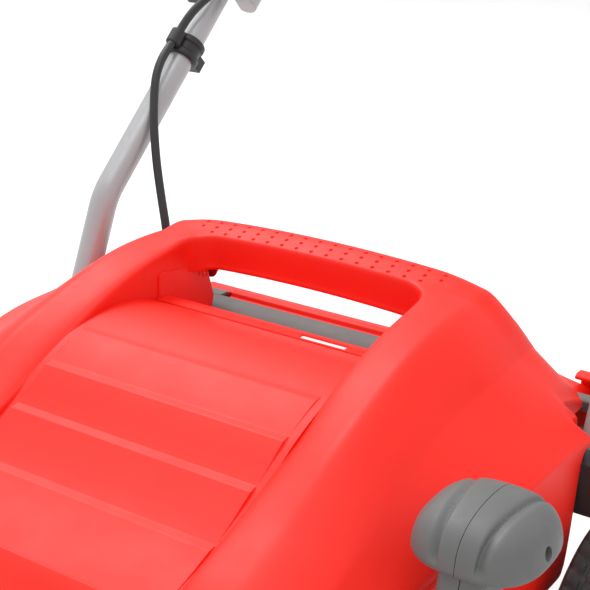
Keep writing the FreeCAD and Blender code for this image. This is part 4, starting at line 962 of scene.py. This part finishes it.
def nurbs_path(name, points):
    """Points read from a NURBS curve through a route's control points."""
    data = bpy.data.curves.new(name, "CURVE")
    data.dimensions = "3D"
    data.resolution_u = 10
    spline = data.splines.new("NURBS")
    spline.points.add(len(points) - 1)
    for spot, point in zip(spline.points, points):
        spot.co = (*point, 1)
    spline.order_u = 3
    spline.use_endpoint_u = True
    obj = linked(name, data)
    bpy.context.view_layer.update()
    graph = bpy.context.evaluated_depsgraph_get()
    mesh = bpy.data.meshes.new_from_object(obj.evaluated_get(graph))
    path = [v.co.copy() for v in mesh.vertices]
    bpy.data.objects.remove(obj)
    bpy.data.meshes.remove(mesh)
    return path


cable_path = nurbs_path("cable_line", route)
cable = sweep("motor_cable", cable_path, CABLE_DIAMETER / 2, 20)
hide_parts("cable_lower", "cable_upper")
cable.data.materials.append(MATERIALS["cable_rubber"])
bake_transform(cable)


def local_mesh(name, obj, x, run, over):
    """Moves a piece made round the origin, Y along the handle and Z square to it, to its place there."""
    obj.data.transform(Matrix.Translation(place(*on_handle(x, run, over))) @ Matrix.Rotation(SLOPE, 4, "X"))
    obj.name = name


def ring_along_y(profile, segments=56):
    """A closed ring turned about Y, in metres round the origin."""
    verts = [Vector((r * cos, a, r * sin)) * MM for cos, sin in circle(1, 0, 0, segments) for a, r in profile]
    return mesh_from("ring", verts, ring_faces(segments, len(profile)))


def local_box(x0, x1, y0, y1, z0, z1):
    verts = [Vector((x * MM, y * MM, z * MM)) for x in (x0, x1) for y in (y0, y1) for z in (z0, z1)]
    faces = [(0, 1, 3, 2), (4, 5, 7, 6), (0, 1, 5, 4), (2, 3, 7, 6), (0, 2, 6, 4), (1, 3, 7, 5)]
    return mesh_from("box", verts, faces)


def build_clip(name, x, run, body, node):
    band = ring_along_y([(-11, 12.6), (-11, 15), (-9.6, 16.4), (-5, 16.4), (-3.6, 14.6), (3.6, 14.6),
                         (5, 16.4), (9.6, 16.4), (11, 15), (11, 12.6)])
    hook = ring_along_y([(-8, 4.05), (-8, 6.3), (-6.8, 7.2), (6.8, 7.2), (8, 6.3), (8, 4.05)], 40)
    hook.data.transform(Matrix.Translation(Vector((0, 0, LIFT + 0.4)) * MM))
    neck = local_box(-4, 4, -7, 7, 13.5, LIFT - 4.6)
    lug = local_box(-7.5, 7.5, -6.5, 6.5, -25, -13.4)
    tongue = local_box(-4.5, 4.5, -4, 4, -27.5, -24)
    clip = joined([band, hook, neck, lug, tongue])
    local_mesh(name, clip, x, run, 0)
    bevel(clip, 0.7, 3)
    finish_piece(clip, body, "black_moulding", [node])


build_clip("clip_lower", -LOWER_X, CLIP_RUN, "chassis", "cable_clip")
build_clip("clip_upper", -UPPER_X, FOLD_RUN + 330, "handle", "upper_clip")

relief = turned("relief", [(0, 4.05), (0, 7.9), (8, 7.9), (9, 11), (13, 11.2), (14.5, 9.4), (17, 7.2),
                           (19, 7.6), (21, 6.6), (23, 7.1), (25, 6.1), (27, 6.6), (29, 5.7), (35, 5.2),
                           (35.6, 4.05)], 0, 0, 0, 48)
relief.data.transform(Matrix.Rotation(-math.pi / 2, 4, "Y") @ Matrix.Translation((0, ORIGIN_BACK, 0)))
relief.data.transform(Matrix.Translation(place(CABLE_X, CABLE_Y, 238)))
relief.name = "cable_relief"
finish_piece(relief, "chassis", "black_moulding", ["cable_grommet"])

entry = ring_along_y([(0, 4.05), (0, 5.2), (-8, 5.8), (-9, 6.9), (-11, 6.9), (-12, 6.1), (-14, 7.3),
                      (-16, 7.3), (-17, 6.5), (-19, 7.9), (-22, 8.2), (-29, 8.4), (-29, 4.05)], 40)
entry.data.transform(Matrix.Rotation(math.pi, 4, "Z"))
local_mesh("switch_relief", entry, -135, GRIP_RUN - 74, 6)
finish_piece(entry, "handle", "black_moulding")


# ---------------------------------------------------------------- wheels
def treaded(name, profile, x0, y, z, blocks, depth, segments):
    """A tyre turned about X whose tread is cut into blocks that slant across it."""
    obj = turned(name, profile, x0, y, z, segments, 28)
    centre = place(0, y, z)
    outer = max(r for _, r in profile) * MM
    low, high = x0 * MM, (x0 + max(a for a, _ in profile)) * MM
    for vertex in obj.data.vertices:
        offset = vertex.co - centre
        radius = math.hypot(offset.y, offset.z)
        if radius < outer - 1.2 * MM:
            continue
        across = (vertex.co.x - low) / (high - low) * 2 - 1
        turn = math.atan2(offset.z, offset.y) + 0.12 * abs(across)
        phase = (turn * blocks / (2 * math.pi)) % 1
        if phase < 0.3:
            factor = (radius - depth * MM) / radius
            vertex.co.y = centre.y + offset.y * factor
            vertex.co.z = centre.z + offset.z * factor
    return obj


def spoke_ribs(x0, x1, y, z, inner, outer, count, thick):
    """Spokes of a wheel, each a little thinner at its outer end."""
    ribs = []
    for i in range(count):
        turn = 2 * math.pi * i / count
        way = Vector((math.cos(turn), math.sin(turn)))
        across = Vector((-way.y, way.x)) * thick / 2
        corners = [way * inner - across, way * inner + across, way * outer + across * 0.7,
                   way * outer - across * 0.7]
        ribs.append(extruded("spoke", [(y + c.x, z + c.y) for c in corners], x0, x1))
    return ribs


REAR_R, REAR_Y = 93, 148
for side, word in SIDES:
    x0 = 262 if side == 1 else -300
    tread = [(0, 81), (0, 86), (1.2, 89.6), (4, 92.2), (9, 93), (12.6, 93), (13.4, 91), (16, 91), (16.8, 93),
             (21.2, 93), (22, 91), (24.6, 91), (25.4, 93), (29, 93), (34, 92.2), (36.8, 89.6), (38, 86),
             (38, 81)]
    tyre = treaded(f"tyre_rear_{word}", tread, x0, REAR_Y, REAR_R, 44, 1.9, 264)
    finish_piece(tyre, f"rear_wheel_{word}", "tyre_rubber", [f"rear_tyre_{word}"])
    rim = turned("rim", [(0, 6.1), (38, 6.1), (38, 15), (24, 17), (22, 20), (22, 70), (24, 73.5), (36, 75.5),
                         (38, 77), (38, 81), (0, 81), (0, 77), (2, 75.5), (14, 73.5), (16, 70), (16, 20),
                         (14, 17), (0, 15)], x0, REAR_Y, REAR_R, 120)
    face = (x0 + 22, x0 + 31) if side == 1 else (x0 + 7, x0 + 16)
    whole = joined([rim] + spoke_ribs(*face, REAR_Y, REAR_R, 13, 74.5, 10, 5))
    bevel(whole, 0.7, 2)
    finish_piece(whole, f"rear_wheel_{word}", "dark_wheel", [f"rear_rim_{word}"])

FRONT_R, FRONT_Y = 60, -165
for side, word in SIDES:
    x0 = 238 if side == 1 else -266
    profile = [(0, 6.1), (28, 6.1), (28, 15), (18, 17), (17, 20), (17, 42), (18, 45.5), (26, 47.5), (28, 49),
               (28, 56), (27, 58.6), (24, 60), (19, 60), (18.4, 58.6), (9.6, 58.6), (9, 60), (4, 60), (1, 58.6),
               (0, 56), (0, 49), (2, 47.5), (10, 45.5), (11, 42), (11, 20), (10, 17), (0, 15)]
    wheel = turned("front", profile, x0, FRONT_Y, FRONT_R, 110)
    face = (x0 + 17, x0 + 23) if side == 1 else (x0 + 5, x0 + 11)
    whole = joined([wheel] + spoke_ribs(*face, FRONT_Y, FRONT_R, 13, 46.5, 8, 4))
    bevel(whole, 0.6, 2)
    whole.name = f"wheel_front_{word}"
    finish_piece(whole, f"front_wheel_{word}", "dark_wheel", [f"front_wheel_{word}"])

# ---------------------------------------------------------------- grip
grip_profile = [(-48, 12.55), (-48, 17.6), (-46.6, 18.8), (-44, 19), (-42.4, 18), (-41.6, 17)]
for k in range(36):
    grip_profile += [(k * 5.0 - 40 + step, radius)
                     for step, radius in ((0, 16.9), (1.6, 16.9), (2.2, 16.2), (3.6, 16.2))]
grip_profile += [(141.6, 17), (143, 18.6), (145, 18.6), (146, 17.4), (146, 12.55)]
_, grip_y, grip_z = on_handle(0, GRIP_RUN)
grip = turned("grip_sleeve", grip_profile, 0, grip_y, grip_z, 64, 40)
finish_piece(grip, "handle", "grip_foam", ["foam_grip"])

# ---------------------------------------------------------------- softer edges on the CAD pieces that stay
for width, kept in ((0.4, "bed_knife height_quadrant deck_bolts front_tie_bar"),
                    (0.5, "side_plate_left side_plate_right rear_axle cranked_shaft"),
                    (0.6, "motor_mount flap_rail swing_arm_left swing_arm_right"), (0.7, "switch_lever"),
                    (0.8, "rear_beam bed_knife_carrier lever_stem safety_button"),
                    (1.0, "belt_cover motor_housing"), (1.2, "tube_socket_left tube_socket_right fold_bolts")):
    for node in kept.split():
        bevel(frame["nodes"][node], width, 2, 35)


# ---------------------------------------------------------------- studio
camera_data = bpy.data.cameras.new("camera")
camera = linked("camera", camera_data)
camera.location = (0.5225, -1.0158, 0.6808)
camera.rotation_euler = (math.radians(67.5), 0, math.radians(33.7))
camera_data.lens = 79.3
camera_data.sensor_width = 36
bpy.context.scene.camera = camera

floor = mesh_from("floor", [(-30, -30, 0), (30, -30, 0), (30, 30, 0), (-30, 30, 0)], [(0, 1, 2, 3)])
floor.data.materials.append(material("floor", (0.86, 0.86, 0.86, 1), spread=0.01, rough=0.7, grain=60,
                                     bump=0.02))

world = bpy.data.worlds.new("studio")
bpy.context.scene.world = world
world.use_nodes = True
background = world.node_tree.nodes["Background"]
background.inputs["Color"].default_value = (1, 1, 1, 1)
background.inputs["Strength"].default_value = 0.95


def softbox(name, location, target, size, power):
    """A round area light that faces its target."""
    data = bpy.data.lights.new(name, "AREA")
    data.shape = "DISK"
    data.size = size
    data.energy = power
    lamp = linked(name, data)
    lamp.location = location
    lamp.rotation_euler = (Vector(target) - Vector(location)).to_track_quat("-Z", "Y").to_euler()


softbox("key", (-1.5, 0.5, 2.5), (0, -0.3, 0.2), 1.3, 46)
softbox("top", (0.2, -0.5, 3.0), (0, -0.2, 0.2), 2.0, 16)
bpy.context.scene.view_settings.view_transform = "Standard"
